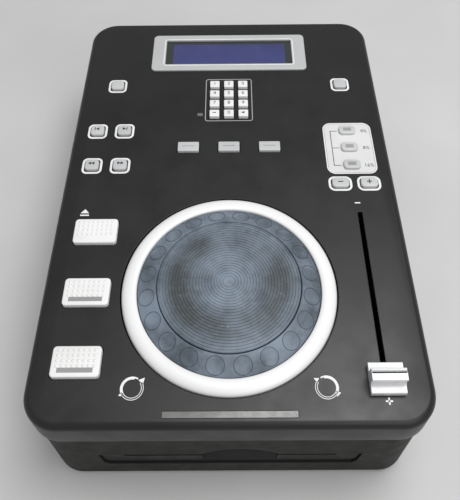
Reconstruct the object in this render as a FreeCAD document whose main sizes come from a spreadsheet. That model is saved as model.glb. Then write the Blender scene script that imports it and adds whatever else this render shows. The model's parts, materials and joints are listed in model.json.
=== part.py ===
import FreeCAD, Part
import math
import os
from types import SimpleNamespace

import Sketcher
from FreeCAD import Placement, Rotation, Vector

# Driving dimensions in millimetres. X is across the player, Y runs from the front to the back, Z is up.
DIMENSIONS = {
    # Whole player
    "overall_width": 222.25,
    "overall_depth": 323.85,
    "panel_top": 93.6,
    "outer_corner": 20.0,
    "foot_height": 3.5,
    # Top cover
    "skirt_height": 21.3,
    "skirt_wall": 1.5,
    "panel_wall": 3.0,
    "band_drop": 4.4,
    "band_inset": 3.3,
    "case_gap": 0.25,
    # Bottom case
    "case_wall": 2.2,
    "case_floor": 2.2,
    "case_rim_drop": 7.6,
    "case_edge_round": 1.6,
    "slot_width": 153.2,
    "slot_bottom_width": 145.0,
    "slot_bottom": 22.0,
    "slot_height": 18.2,
    "slot_corner_rise": 4.0,
    "slot_corner_run": 1.4,
    "thumb_x": 5.6,
    "thumb_chord": 45.0,
    "thumb_rise": 10.6,
    # Corner bosses and their screws
    "boss_x": 98.0,
    "boss_y": 148.0,
    "boss_size": 9.2,
    "screw_radius": 1.5,
    "screw_head_radius": 3.2,
    "screw_head_height": 1.2,
    "screw_length": 16.0,
    "screw_play": 0.1,
    # Feet
    "foot_x": 86.0,
    "foot_y": 128.0,
    "foot_radius": 12.0,
    # Control board and the switches under the keys
    "board_drop": 13.6,
    "board_wall": 1.6,
    "main_board_x": -40.0,
    "main_board_y": 80.0,
    "main_board_width": 106.0,
    "main_board_depth": 110.0,
    "power_board_x": 59.0,
    "power_board_y": 74.0,
    "power_board_width": 74.0,
    "power_board_depth": 98.0,
    "board_width": 206.0,
    "board_depth": 300.0,
    "board_corner_cut": 18.0,
    "board_post_size": 6.0,
    "switch_size": 6.0,
    "switch_height": 5.0,
    # Keys
    "key_gap": 0.5,
    "key_flange": 1.4,
    "key_flange_wall": 1.0,
    "key_seat_gap": 0.2,
    "key_stem_size": 3.4,
    "press_gap": 0.06,
    "small_travel": 0.5,
    "large_travel": 0.8,
    # Display
    "display_x": 0.2,
    "display_y": 124.2,
    "bezel_width": 120.7,
    "bezel_depth": 40.6,
    "bezel_corner": 3.5,
    "bezel_height": 1.4,
    "bezel_bevel": 0.5,
    "window_width": 99.4,
    "window_depth": 27.6,
    "window_corner": 2.5,
    "window_sink": 1.6,
    "window_wall": 1.2,
    "window_lip": 2.0,
    "lcd_height": 6.0,
    # Disc light and memory light
    "light_bar_x": 0.4,
    "light_bar_y": -155.0,
    "light_bar_width": 71.7,
    "light_bar_depth": 3.5,
    "memory_light_x": -20.9,
    "memory_light_y": 58.0,
    "memory_light_width": 4.1,
    "memory_light_depth": 3.0,
    "lens_gap": 0.1,
    "lens_lip": 1.0,
    # Jog wheel
    "jog_y": -82.0,
    "jog_radius": 64.0,
    "jog_gap": 0.7,
    "jog_crest_radius": 59.0,
    "jog_crest_height": 2.7,
    "jog_edge_height": 0.3,
    "jog_plate_drop": 0.5,
    "well_depth": 6.5,
    "well_wall": 2.0,
    "pad_radius": 54.4,
    "pad_gap": 0.3,
    "pad_edge_height": 1.2,
    "pad_top_radius": 43.0,
    "pad_shoulder_height": 6.4,
    "pad_crown_height": 8.0,
    "dimple_circle": 48.9,
    "dimple_radius": 5.3,
    "dimple_depth": 0.8,
    "dimple_count": 20,
    "terrace_radius": 40.5,
    "button_radius": 20.0,
    "shaft_radius": 4.0,
    "bearing_play": 0.05,
    "press_play": 0.02,
    "bush_radius": 6.0,
    "bush_rise": 1.0,
    "bush_drop": 2.9,
    "running_gap": 0.3,
    "encoder_radius": 13.0,
    "encoder_wall": 0.8,
    "encoder_lift": 2.4,
    "fork_slot": 2.0,
    # Pitch fader
    "fader_x": 84.6,
    "fader_cap_y": -137.6,
    "fader_travel": 100.0,
    "fader_slot_width": 3.0,
    "fader_slot_back": -28.2,
    "fader_slot_front": -144.4,
    "fader_body_width": 14.0,
    "fader_body_height": 7.6,
    "fader_body_wall": 1.0,
    "fader_end": 4.0,
    "carriage_width": 9.0,
    "carriage_length": 14.0,
    "stem_width": 2.0,
    "stem_length": 4.4,
    "slide_play": 0.2,
    "cap_width": 18.9,
    "cap_length": 16.7,
    "cap_lift": 0.8,
    "cap_flange_height": 4.4,
    "cap_ridge_height": 11.6,
    "cap_ridge_front": -4.3,
    "cap_ridge_back": 2.7,
    "cap_line_depth": 0.7,
    "cap_line_width": 0.8,
    # Slot-in drive
    "drive_width": 143.0,
    "drive_front": -157.7,
    "drive_length": 165.0,
    "drive_standoff": 3.6,
    "drive_wall": 1.2,
    "drive_bezel_width": 160.0,
    "drive_bezel_bottom": 17.0,
    "drive_bezel_height": 37.5,
    "drive_bezel_wall": 3.2,
    "slot_lip_rise": 1.3,
    "slot_lip_gap": 0.6,
    "disc_slit_width": 125.0,
    "disc_slit_bottom": 34.2,
    "disc_slit_height": 5.4,
    "deck_drop": 0.9,
    "disc_radius": 60.0,
    "thumb_notch": 8.0,
    "scoop_width": 44.0,
    "scoop_height": 9.0,
    "scoop_depth": 3.6,
    "scoop_back_wall": 0.8,
    "roller_radius": 3.2,
    "roller_length": 118.0,
    "roller_pin_radius": 1.5,
    "roller_setback": 11.0,
    "turntable_setback": 76.0,
    "turntable_radius": 14.0,
    "turntable_wall": 2.6,
    "spindle_radius": 7.3,
    "spindle_rise": 1.3,
    "motor_size": 24.0,
    "rod_radius": 1.5,
    "rod_spacing": 36.0,
    "rod_lift": 14.0,
    "cradle_length": 4.0,
    "sled_length": 24.0,
    "sled_height": 8.0,
    "sled_travel": 34.0,
    "sled_gap": 3.0,
    "lens_radius": 3.5,
    # Rear connectors
    "bay_x": -45.0,
    "bay_width": 66.0,
    "bay_height": 26.0,
    "bay_bottom": 16.0,
    "bay_depth": 11.0,
    "jack_radius": 4.15,
    "jack_length": 9.0,
    "jack_pitch": 20.0,
    "jack_block_width": 50.4,
    "jack_block_height": 10.0,
    "jack_block_depth": 8.0,
    "inlet_x": 62.0,
    "inlet_bottom": 14.0,
    "inlet_width": 46.0,
    "inlet_height": 30.0,
    "inlet_corner": 1.2,
    "inlet_flange": 1.5,
    "inlet_depth": 24.0,
    "socket_width": 24.4,
    "socket_height": 16.4,
    "socket_depth": 16.0,
    "rocker_width": 11.0,
    "rocker_opening": 20.4,
    "rocker_swing": 20.0,
    "rocker_pin_radius": 1.6,
    "rocker_pin_reach": 0.8,
    # Boards on the floor
    "standoff_height": 4.0,
    "standoff_size": 6.0,
}

# The keys: name, centre x, centre y, width, depth, corner radius, height above the panel.
KEYPAD_NAMES = (
    ("key_1", "key_2", "key_3"),
    ("key_4", "key_5", "key_6"),
    ("key_7", "key_8", "key_9"),
    ("key_memory", "key_0", "key_recall"),
)
KEYPAD = {"keypad_x": 0.1, "keypad_y": 72.5, "keypad_pitch_x": 10.55, "keypad_pitch_y": 9.95}
SIDE_COLUMN = {"column_x": 84.2, "pair_pitch": 19.2}
KEY_FORMS = {
    "keypad": {"width": 7.1, "depth": 6.6, "corner": 0.0, "height": 2.4, "bevel": 0.4},
    "small": {"width": 9.4, "depth": 8.9, "corner": 1.5, "height": 2.0, "bevel": 0.6},
    "loop": {"width": 14.8, "depth": 8.3, "corner": 0.0, "height": 1.8, "bevel": 0.4},
    "range": {"width": 11.6, "depth": 7.6, "corner": 1.8, "height": 2.0, "bevel": 0.6},
    "bend": {"width": 11.4, "depth": 7.8, "corner": 1.8, "height": 2.0, "bevel": 0.6},
    "large": {"width": 27.2, "depth": 17.6, "corner": 1.4, "height": 3.0, "bevel": 0.7},
}
KEY_ROWS = {
    "single_row": 87.8,
    "skip_row": 42.4,
    "search_row": 11.1,
    "loop_row": 26.6,
    "loop_pitch": 28.4,
    "range_row": 25.4,
    "range_pitch": 15.5,
    "bend_row": -5.5,
    "stop_row": -42.6,
    "large_pitch": 42.15,
}


class Size:
    """A length that knows its number and the formula over the sheet that gives it."""

    def __init__(self, value, formula):
        self.value = value
        self.formula = formula

    def _join(self, other, sign, value):
        return Size(value, f"({self.formula} {sign} {as_size(other).formula})")

    def __float__(self):
        return float(self.value)

    def __neg__(self):
        return Size(-self.value, f"(0 - {self.formula})")

    def __add__(self, other):
        return self._join(other, "+", self.value + float(other))

    def __sub__(self, other):
        return self._join(other, "-", self.value - float(other))

    def __mul__(self, other):
        return self._join(other, "*", self.value * float(other))

    def __truediv__(self, other):
        return self._join(other, "/", self.value / float(other))

    def __radd__(self, other):
        return as_size(other) + self

    def __rsub__(self, other):
        return as_size(other) - self

    def __rmul__(self, other):
        return as_size(other) * self


def as_size(number):
    return number if isinstance(number, Size) else Size(float(number), repr(float(number)))


doc = FreeCAD.newDocument("disc_player")
sheet = doc.addObject("Spreadsheet::Sheet", "Sizes")
all_sizes = dict(DIMENSIONS)
all_sizes.update(KEYPAD)
all_sizes.update(SIDE_COLUMN)
all_sizes.update(KEY_ROWS)
for form, numbers in KEY_FORMS.items():
    all_sizes.update({f"{form}_key_{name}": value for name, value in numbers.items()})
for row, (alias, value) in enumerate(all_sizes.items(), 1):
    sheet.set(f"A{row}", alias)
    sheet.set(f"B{row}", str(value))
    sheet.setAlias(f"B{row}", alias)
doc.recompute()
sizes = SimpleNamespace(**{name: Size(float(sheet.get(name)), f"Sizes.{name}") for name in all_sizes})

parts = {}


# Document helpers
def bind(thing, name, size):
    """Ties one property to the sheet."""
    thing.setExpression(name, as_size(size).formula)


def new_body(label, x=0, y=0, z=0):
    body = doc.addObject("PartDesign::Body", label)
    body.Label = label
    body.Placement = Placement(Vector(float(x), float(y), float(z)), Rotation())
    for axis, size in (("x", x), ("y", y), ("z", z)):
        bind(body, f"Placement.Base.{axis}", size)
    parts[label] = body
    return body


def origin_item(body, role):
    return next(item for item in body.Origin.OriginFeatures if item.Role == role)


def new_sketch(body, name, role="XY_Plane", offset=0):
    sketch = body.newObject("Sketcher::SketchObject", name)
    sketch.AttachmentSupport = [(origin_item(body, role), "")]
    sketch.MapMode = "FlatFace"
    sketch.AttachmentOffset = Placement(Vector(0, 0, float(offset)), Rotation())
    bind(sketch, "AttachmentOffset.Base.z", offset)
    return sketch


def constrain(sketch, kind, geometry, size):
    index = sketch.addConstraint(Sketcher.Constraint(kind, *geometry, float(size)))
    bind(sketch, f"Constraints[{index}]", size)


def pin_point(sketch, geometry, end, x, y):
    """Fixes one point of a sketch from the sketch's origin."""
    constrain(sketch, "DistanceX", (-1, 1, geometry, end), x)
    constrain(sketch, "DistanceY", (-1, 1, geometry, end), y)


def draw_circle(sketch, x, y, radius):
    index = sketch.addGeometry(Part.Circle(Vector(float(x), float(y), 0), Vector(0, 0, 1), float(radius)))
    pin_point(sketch, index, 3, x, y)
    constrain(sketch, "Radius", (index,), radius)


def draw_polygon(sketch, points):
    """Straight lines through points that are each given as two sizes."""
    spots = [Vector(float(x), float(y), 0) for x, y in points]
    first = len(sketch.Geometry)
    for start, end in zip(spots, spots[1:] + spots[:1]):
        sketch.addGeometry(Part.LineSegment(start, end))
    count = len(spots)
    for step in range(count):
        following = first + (step + 1) % count
        sketch.addConstraint(Sketcher.Constraint("Coincident", first + step, 2, following, 1))
    for step, (x, y) in enumerate(points):
        pin_point(sketch, first + step, 1, x, y)


def draw_rectangle(sketch, x, y, width, depth):
    left, right = x - width / 2, x + width / 2
    front, back = y - depth / 2, y + depth / 2
    draw_polygon(sketch, [(left, front), (right, front), (right, back), (left, back)])


def draw_rounded(sketch, x, y, width, depth, corner):
    """A rectangle with round corners: an arc at each corner, tangent to the sides."""
    x, y, width, depth, corner = (as_size(size) for size in (x, y, width, depth, corner))
    reach_x, reach_y = width / 2 - corner, depth / 2 - corner
    centres = [(x + reach_x, y + reach_y), (x - reach_x, y + reach_y),
               (x - reach_x, y - reach_y), (x + reach_x, y - reach_y)]
    first = len(sketch.Geometry)
    for turn, (cx, cy) in enumerate(centres):
        circle = Part.Circle(Vector(float(cx), float(cy), 0), Vector(0, 0, 1), float(corner))
        start = turn * math.pi / 2
        sketch.addGeometry(Part.ArcOfCircle(circle, start, start + math.pi / 2))
    for turn in range(4):
        start = sketch.getPoint(first + turn, 2)
        end = sketch.getPoint(first + (turn + 1) % 4, 1)
        side = sketch.addGeometry(Part.LineSegment(start, end))
        sketch.addConstraint(Sketcher.Constraint("Tangent", first + turn, 2, side, 1))
        sketch.addConstraint(Sketcher.Constraint("Tangent", side, 2, first + (turn + 1) % 4, 1))
    for turn, (cx, cy) in enumerate(centres):
        pin_point(sketch, first + turn, 3, cx, cy)
        constrain(sketch, "Radius", (first + turn,), corner)


def feature(body, kind, sketch, length, reverse=False):
    made = body.newObject(f"PartDesign::{kind}", kind)
    made.Profile = sketch
    made.Reversed = reverse
    made.Length = float(length)
    bind(made, "Length", length)
    sketch.Visibility = False
    return made


def pad(body, sketch, length, reverse=False):
    return feature(body, "Pad", sketch, length, reverse)


def pocket(body, sketch, length, reverse=False):
    return feature(body, "Pocket", sketch, length, reverse)


def slab(body, x, y, width, depth, corner, bottom, height, cut=False):
    """Pads, or cuts, a rounded plate that stands between two heights."""
    sketch = new_sketch(body, "outline", offset=bottom)
    draw_rounded(sketch, x, y, width, depth, corner)
    return pocket(body, sketch, height, True) if cut else pad(body, sketch, height)


def block(body, x, y, width, depth, bottom, height, cut=False):
    sketch = new_sketch(body, "outline", offset=bottom)
    draw_rectangle(sketch, as_size(x), as_size(y), as_size(width), as_size(depth))
    return pocket(body, sketch, height, True) if cut else pad(body, sketch, height)


def clipped(x, y, width, depth, cut):
    """The corner points of a rectangle, clipped at 45 degrees where there is a cut."""
    half_x, half_y = width / 2, depth / 2
    if float(cut) == 0:
        return [(x - half_x, y - half_y), (x + half_x, y - half_y), (x + half_x, y + half_y), (x - half_x, y + half_y)]
    return [(x - half_x + cut, y - half_y), (x + half_x - cut, y - half_y), (x + half_x, y - half_y + cut),
            (x + half_x, y + half_y - cut), (x + half_x - cut, y + half_y), (x - half_x + cut, y + half_y),
            (x - half_x, y + half_y - cut), (x - half_x, y - half_y + cut)]


def plate(body, x, y, width, depth, cut, bottom, height):
    """A slab with clipped corners."""
    sketch = new_sketch(body, "outline", offset=bottom)
    draw_polygon(sketch, clipped(as_size(x), as_size(y), width, depth, cut))
    return pad(body, sketch, height)


def posts(body, spots, size, bottom, height):
    """Square posts of one size, all padded from one sketch."""
    sketch = new_sketch(body, "posts", offset=bottom)
    for x, y in spots:
        draw_rectangle(sketch, as_size(x), as_size(y), as_size(size), as_size(size))
    return pad(body, sketch, height)


def drum(body, centres, radius, bottom, height, cut=False):
    """Pads, or cuts, a round boss at each centre."""
    sketch = new_sketch(body, "circles", offset=bottom)
    for x, y in centres:
        draw_circle(sketch, as_size(x), as_size(y), radius)
    return pocket(body, sketch, height, True) if cut else pad(body, sketch, height)


def revolve(body, points, cut=False):
    """Turns a closed outline, given as radius and height, about the body's own Z axis."""
    sketch = new_sketch(body, "profile", "XZ_Plane")
    draw_polygon(sketch, points)
    made = body.newObject("PartDesign::Groove" if cut else "PartDesign::Revolution", "turned")
    made.Profile = sketch
    made.ReferenceAxis = (origin_item(body, "Z_Axis"), [""])
    made.Angle = 360.0
    sketch.Visibility = False
    return made


def extrude_side(body, points, width, middle=0, cut=False):
    """Runs an outline in the YZ plane across X, half to each side of the middle."""
    sketch = new_sketch(body, "side", "YZ_Plane", as_size(middle) - as_size(width) / 2)
    draw_polygon(sketch, points)
    return pocket(body, sketch, width, True) if cut else pad(body, sketch, width)


def round_edges(body, made, radius, wanted):
    """Fillets the edges of the last feature whose two ends pass the test."""
    doc.recompute()
    names = []
    for index, edge in enumerate(made.Shape.Edges, 1):
        if edge.Vertexes and all(wanted(vertex.Point) for vertex in edge.Vertexes):
            names.append(f"Edge{index}")
    fillet = body.newObject("PartDesign::Fillet", "rounded")
    fillet.Base = (made, names)
    fillet.Radius = float(radius)
    bind(fillet, "Radius", radius)
    made.Visibility = False
    return fillet


def bevel_edges(body, made, drop, inset, wanted):
    """Chamfers the chosen edges of the last feature by two distances, down the wall and in across the top."""
    doc.recompute()
    names = []
    for index, edge in enumerate(made.Shape.Edges, 1):
        if edge.Vertexes and all(wanted(vertex.Point) for vertex in edge.Vertexes):
            names.append(f"Edge{index}")
    chamfer = body.newObject("PartDesign::Chamfer", "bevelled")
    chamfer.Base = (made, names)
    chamfer.ChamferType = "Two distances"
    chamfer.Size = float(inset)
    chamfer.Size2 = float(drop)
    bind(chamfer, "Size", inset)
    bind(chamfer, "Size2", drop)
    made.Visibility = False
    return chamfer


def at_height(height):
    return lambda point: abs(point.z - float(height)) < 1e-4


def add_shape(label, solids):
    """A sub-part that is a group of separate solids."""
    item = doc.addObject("Part::Feature", label)
    item.Label = label
    item.Shape = Part.makeCompound(solids)
    parts[label] = item
    return item


def turned_solid(points, x, y):
    """A solid of revolution about a vertical axis, from radius and height pairs."""
    spots = [Vector(float(radius), 0, float(height)) for radius, height in points]
    face = Part.Face(Part.makePolygon(spots + spots[:1]))
    solid = face.revolve(Vector(0, 0, 0), Vector(0, 0, 1), 360)
    solid.translate(Vector(float(x), float(y), 0))
    return solid


def solid_box(x, y, width, depth, bottom, height):
    corner = Vector(float(x) - float(width) / 2, float(y) - float(depth) / 2, float(bottom))
    return Part.makeBox(float(width), float(depth), float(height), corner)


def solid_drum(x, y, radius, bottom, height):
    return Part.makeCylinder(float(radius), float(height), Vector(float(x), float(y), float(bottom)))


def corners(x, y):
    return [(sx * x, sy * y) for sx in (-1, 1) for sy in (-1, 1)]


# Heights and lengths that several pieces share
s = sizes
PANEL_UNDER = s.panel_top - s.panel_wall
BOARD_TOP = s.panel_top - s.board_drop
BOARD_UNDER = BOARD_TOP - s.board_wall
FLOOR_TOP = s.foot_height + s.case_floor
CASE_WIDTH = s.overall_width - 2 * (s.skirt_wall + s.case_gap)
CASE_DEPTH = s.overall_depth - 2 * (s.skirt_wall + s.case_gap)
CASE_CORNER = s.outer_corner - s.skirt_wall - s.case_gap
CASE_TOP = s.panel_top - s.case_rim_drop
CASE_BACK = CASE_DEPTH / 2
SWITCH_TOP = BOARD_TOP + s.switch_height
WELL_FLOOR = s.panel_top - s.well_depth
WELL_RADIUS = s.jog_radius + s.jog_gap
DRIVE_FLOOR = FLOOR_TOP + s.drive_standoff
DRIVE_Y = s.drive_front + s.drive_bezel_wall
DECK_TOP = s.disc_slit_bottom - s.deck_drop
LID_BOTTOM = s.disc_slit_bottom + s.disc_slit_height + s.running_gap
ROLLER_Y = s.drive_front + s.roller_setback
TURNTABLE_Y = s.drive_front + s.turntable_setback
POST_SPOTS = ((102.0, 118.0), (102.0, -18.0), (50.0, 60.0), (58.0, -150.0))


# The keys and where they stand
def key_table():
    """Every key as name, form, centre x and centre y."""
    table = []
    for row, names in enumerate(KEYPAD_NAMES):
        for column, name in enumerate(names):
            x = s.keypad_x + (column - 1) * s.keypad_pitch_x
            y = s.keypad_y + (1.5 - row) * s.keypad_pitch_y
            table.append((name, "keypad", x, y))
    half = s.pair_pitch / 2
    table.append(("single_key", "small", -s.column_x, s.single_row))
    table.append(("time_key", "small", s.column_x, s.single_row))
    table.append(("skip_back_key", "small", -s.column_x - half, s.skip_row))
    table.append(("skip_forward_key", "small", -s.column_x + half, s.skip_row))
    table.append(("search_back_key", "small", -s.column_x - half, s.search_row))
    table.append(("search_forward_key", "small", -s.column_x + half, s.search_row))
    for place, name in enumerate(("loop_in_key", "loop_out_key", "reloop_key"), -1):
        table.append((name, "loop", s.keypad_x + place * s.loop_pitch, s.loop_row))
    for place, name in enumerate(("range_4_key", "range_8_key", "range_16_key"), -1):
        table.append((name, "range", s.column_x, s.range_row - place * s.range_pitch))
    table.append(("bend_down_key", "bend", s.column_x - half, s.bend_row))
    table.append(("bend_up_key", "bend", s.column_x + half, s.bend_row))
    for place, name in enumerate(("stop_key", "cue_key", "play_key")):
        table.append((name, "large", -s.column_x, s.stop_row - place * s.large_pitch))
    return table


def key_size(form, name):
    return getattr(s, f"{form}_key_{name}")


def key_travel(form):
    return s.large_travel if form == "large" else s.small_travel


def make_key(name, form, x, y):
    """A key cap with its retaining flange below the panel and its stem over the switch."""
    body = new_body(name, x, y, s.panel_top)
    width, depth, corner = (key_size(form, word) for word in ("width", "depth", "corner"))
    flange_top = -(s.panel_wall + s.key_seat_gap)
    flange_bottom = flange_top - s.key_flange_wall
    reach = 2 * s.key_flange
    stem_bottom = SWITCH_TOP + key_travel(form) + s.press_gap - s.panel_top
    block(body, 0, 0, s.key_stem_size, s.key_stem_size, stem_bottom, flange_bottom - stem_bottom)
    block(body, 0, 0, width + reach, depth + reach, flange_bottom, s.key_flange_wall)
    height = key_size(form, "height")
    cap = plate(body, 0, 0, width, depth, corner, flange_top, height - flange_top)
    bevel = key_size(form, "bevel")
    bevel_edges(body, cap, bevel, bevel, at_height(height))


def make_cover_shell():
    """The moulded cover before its openings: skirt, sloped band, flat panel, jog well, bosses and posts."""
    body = new_body("cover_shell")
    del parts["cover_shell"]
    lip = s.panel_top - s.skirt_height
    outer = slab(body, 0, 0, s.overall_width, s.overall_depth, s.outer_corner, lip, s.skirt_height)
    bevel_edges(body, outer, s.band_drop, s.band_inset, at_height(s.panel_top))
    wall = 2 * s.skirt_wall
    slab(body, 0, 0, s.overall_width - wall, s.overall_depth - wall, s.outer_corner - s.skirt_wall,
         lip, s.skirt_height - s.case_rim_drop + s.running_gap, cut=True)
    inner = 2 * (s.band_inset + s.skirt_wall)
    slab(body, 0, 0, s.overall_width - inner, s.overall_depth - inner,
         s.outer_corner - s.band_inset - s.skirt_wall, lip, s.skirt_height - s.panel_wall, cut=True)
    middle = [(0, s.jog_y)]
    well_under = WELL_FLOOR - s.well_wall
    drum(body, middle, WELL_RADIUS + s.well_wall, well_under, PANEL_UNDER - well_under)
    drum(body, middle, WELL_RADIUS, WELL_FLOOR, s.well_depth, cut=True)
    drum(body, middle, s.bush_radius + s.press_play, well_under, s.well_wall, cut=True)
    bosses = corners(s.boss_x, s.boss_y)
    posts(body, bosses, s.boss_size, FLOOR_TOP, PANEL_UNDER - FLOOR_TOP)
    drum(body, bosses, s.screw_radius + s.screw_play, FLOOR_TOP, s.screw_length, cut=True)
    spots = [(side * x, y) for x, y in POST_SPOTS for side in (-1, 1)]
    posts(body, spots, s.board_post_size, BOARD_TOP, PANEL_UNDER - BOARD_TOP)
    return body


def panel_openings():
    """Solids that stand in the openings of the panel: keys, fader slot, display and lights."""
    gap = 2 * s.key_gap
    openings = []
    for name, form, x, y in key_table():
        width, depth, corner = (key_size(form, word) for word in ("width", "depth", "corner"))
        wider = corner + s.key_gap * (2 - math.sqrt(2)) if float(corner) else corner
        openings.append(opening(x, y, width + gap, depth + gap, wider))
    slot_length = s.fader_slot_back - s.fader_slot_front
    slot_middle = s.fader_slot_front + slot_length / 2
    openings.append(opening(s.fader_x, slot_middle, s.fader_slot_width, slot_length, 0))
    lip = 2 * s.window_lip
    openings.append(opening(s.display_x, s.display_y, s.window_width + lip, s.window_depth + lip, 0))
    for light in ("light_bar", "memory_light"):
        x, y, width, depth = (getattr(s, f"{light}_{word}") for word in ("x", "y", "width", "depth"))
        openings.append(opening(x, y, width, depth, 0))
    return openings


def opening(x, y, width, depth, cut):
    """A prism that runs right through the panel, its corners clipped like the key's."""
    rim = [Vector(float(px), float(py), float(PANEL_UNDER) - 1)
           for px, py in clipped(as_size(x), as_size(y), width, depth, cut)]
    return Part.Face(Part.makePolygon(rim + rim[:1])).extrude(Vector(0, 0, float(s.panel_wall) + 2))


def make_top_cover():
    """The cover with its openings cut."""
    shell = make_cover_shell()
    tools = doc.addObject("Part::Feature", "panel_openings")
    tools.Shape = Part.makeCompound(panel_openings())
    cover = doc.addObject("Part::Cut", "top_cover")
    cover.Label = "top_cover"
    cover.Base = shell
    cover.Tool = tools
    parts["top_cover"] = cover


def slot_outline(sketch):
    """The disc slot in the front wall: a wide trapezoid with a thumb arc above its middle."""
    top = s.slot_bottom + s.slot_height
    half_top, half_bottom = s.slot_width / 2, s.slot_bottom_width / 2
    corner_x = half_top - s.slot_corner_run
    corner_z = s.slot_bottom + s.slot_corner_rise
    left, right = s.thumb_x - s.thumb_chord / 2, s.thumb_x + s.thumb_chord / 2
    points = [(right, top), (half_top, top), (corner_x, corner_z), (half_bottom, s.slot_bottom),
              (-half_bottom, s.slot_bottom), (-corner_x, corner_z), (-half_top, top), (left, top)]
    spots = [Vector(float(x), float(y), 0) for x, y in points]
    for start, end in zip(spots, spots[1:]):
        sketch.addGeometry(Part.LineSegment(start, end))
    crest = Vector(float(s.thumb_x), float(top + s.thumb_rise), 0)
    arc = sketch.addGeometry(Part.Arc(spots[-1], crest, spots[0]))
    for step in range(len(points) - 2):
        sketch.addConstraint(Sketcher.Constraint("Coincident", step, 2, step + 1, 1))
    for step, (x, y) in enumerate(points[:-1]):
        pin_point(sketch, step, 1, x, y)
    last = len(points) - 2
    pin_point(sketch, last, 2, *points[-1])
    start_end, finish_end = (1, 2) if sketch.getPoint(arc, 1).x > float(s.thumb_x) else (2, 1)
    sketch.addConstraint(Sketcher.Constraint("Coincident", arc, start_end, 0, 1))
    sketch.addConstraint(Sketcher.Constraint("Coincident", arc, finish_end, last, 2))
    half = s.thumb_chord / 2
    constrain(sketch, "Radius", (arc,), (half * half + s.thumb_rise * s.thumb_rise) / (2 * s.thumb_rise))


def standoff_spots():
    """Where the boards on the floor are held: the main board on the left, the power board on the right."""
    main = [(MAIN_BOARD.x + sx * (MAIN_BOARD.width / 2 - 6), MAIN_BOARD.y + sy * (MAIN_BOARD.depth / 2 - 6))
            for sx in (-1, 1) for sy in (-1, 1)]
    power = [(POWER_BOARD.x + sx * (POWER_BOARD.width / 2 - 6), POWER_BOARD.y + sy * (POWER_BOARD.depth / 2 - 6))
             for sx in (-1, 1) for sy in (-1, 1)]
    return main + power


MAIN_BOARD = SimpleNamespace(x=s.main_board_x, y=s.main_board_y, width=s.main_board_width, depth=s.main_board_depth)
POWER_BOARD = SimpleNamespace(x=s.power_board_x, y=s.power_board_y, width=s.power_board_width,
                              depth=s.power_board_depth)


def make_bottom_case():
    """The tray: floor, walls, front slot, rear bay and inlet opening, standoffs."""
    body = new_body("bottom_case")
    shell = slab(body, 0, 0, CASE_WIDTH, CASE_DEPTH, CASE_CORNER, s.foot_height, CASE_TOP - s.foot_height)
    bevel_edges(body, shell, s.case_edge_round, s.case_edge_round, at_height(s.foot_height))
    wall = 2 * s.case_wall
    slab(body, 0, 0, CASE_WIDTH - wall, CASE_DEPTH - wall, CASE_CORNER - s.case_wall, FLOOR_TOP,
         CASE_TOP - FLOOR_TOP, cut=True)
    # Rear bay: a box behind the wall, then its hollow
    frame = 2 * s.case_wall
    bay_z = s.bay_bottom + s.bay_height / 2
    back = CASE_BACK - s.case_wall
    box = new_sketch(body, "bay_box", "XZ_Plane", -back)
    draw_rectangle(box, s.bay_x, bay_z, s.bay_width + frame, s.bay_height + frame)
    pad(body, box, s.bay_depth)
    hollow = new_sketch(body, "bay_hollow", "XZ_Plane", -CASE_BACK)
    draw_rectangle(hollow, s.bay_x, bay_z, s.bay_width, s.bay_height)
    pocket(body, hollow, s.bay_depth, True)
    jacks = new_sketch(body, "jack_block_hole", "XZ_Plane", -CASE_BACK)
    gap = 2 * s.lens_gap
    draw_rectangle(jacks, s.bay_x, s.bay_bottom + s.bay_height / 3, s.jack_block_width + gap, s.jack_block_height + gap)
    pocket(body, jacks, s.bay_depth + s.case_wall, True)
    inlet = new_sketch(body, "inlet_hole", "XZ_Plane", -CASE_BACK)
    rim = 2 * s.inlet_flange
    draw_rectangle(inlet, s.inlet_x, s.inlet_bottom + s.inlet_height / 2,
                   s.inlet_width - rim, s.inlet_height - rim)
    pocket(body, inlet, s.case_wall, True)
    front = new_sketch(body, "front_slot", "XZ_Plane", CASE_BACK)
    slot_outline(front)
    pocket(body, front, s.case_wall)
    drum(body, corners(s.boss_x, s.boss_y), s.screw_radius + s.screw_play, s.foot_height, s.case_floor, cut=True)
    posts(body, standoff_spots(), s.standoff_size, FLOOR_TOP, s.standoff_height)
    posts(body, drive_feet(), s.standoff_size, FLOOR_TOP, s.drive_standoff)


def drive_feet():
    edge = s.drive_width / 2 - 10
    return [(sx * edge, DRIVE_Y + y) for sx in (-1, 1) for y in (24.0, s.drive_length - 20)]


def make_feet():
    """Four round rubber feet."""
    add_shape("rubber_feet", [solid_drum(x, y, s.foot_radius, 0, s.foot_height) for x, y in corners(s.foot_x, s.foot_y)])


def make_screws():
    """One screw up through the floor into each corner boss, its head against the floor."""
    screws = []
    for x, y in corners(s.boss_x, s.boss_y):
        head = solid_drum(x, y, s.screw_head_radius, s.foot_height - s.screw_head_height, s.screw_head_height)
        spots = [math.pi * step / 4 for step in range(8)]
        rim = [Vector(float(x + s.screw_radius * math.cos(spot)), float(y + s.screw_radius * math.sin(spot)),
                      float(s.foot_height)) for spot in spots]
        tip = float(FLOOR_TOP + s.screw_length - 1 - s.foot_height)
        screws.append(head.fuse(Part.Face(Part.makePolygon(rim + rim[:1])).extrude(Vector(0, 0, tip))))
    add_shape("case_screws", screws)


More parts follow.
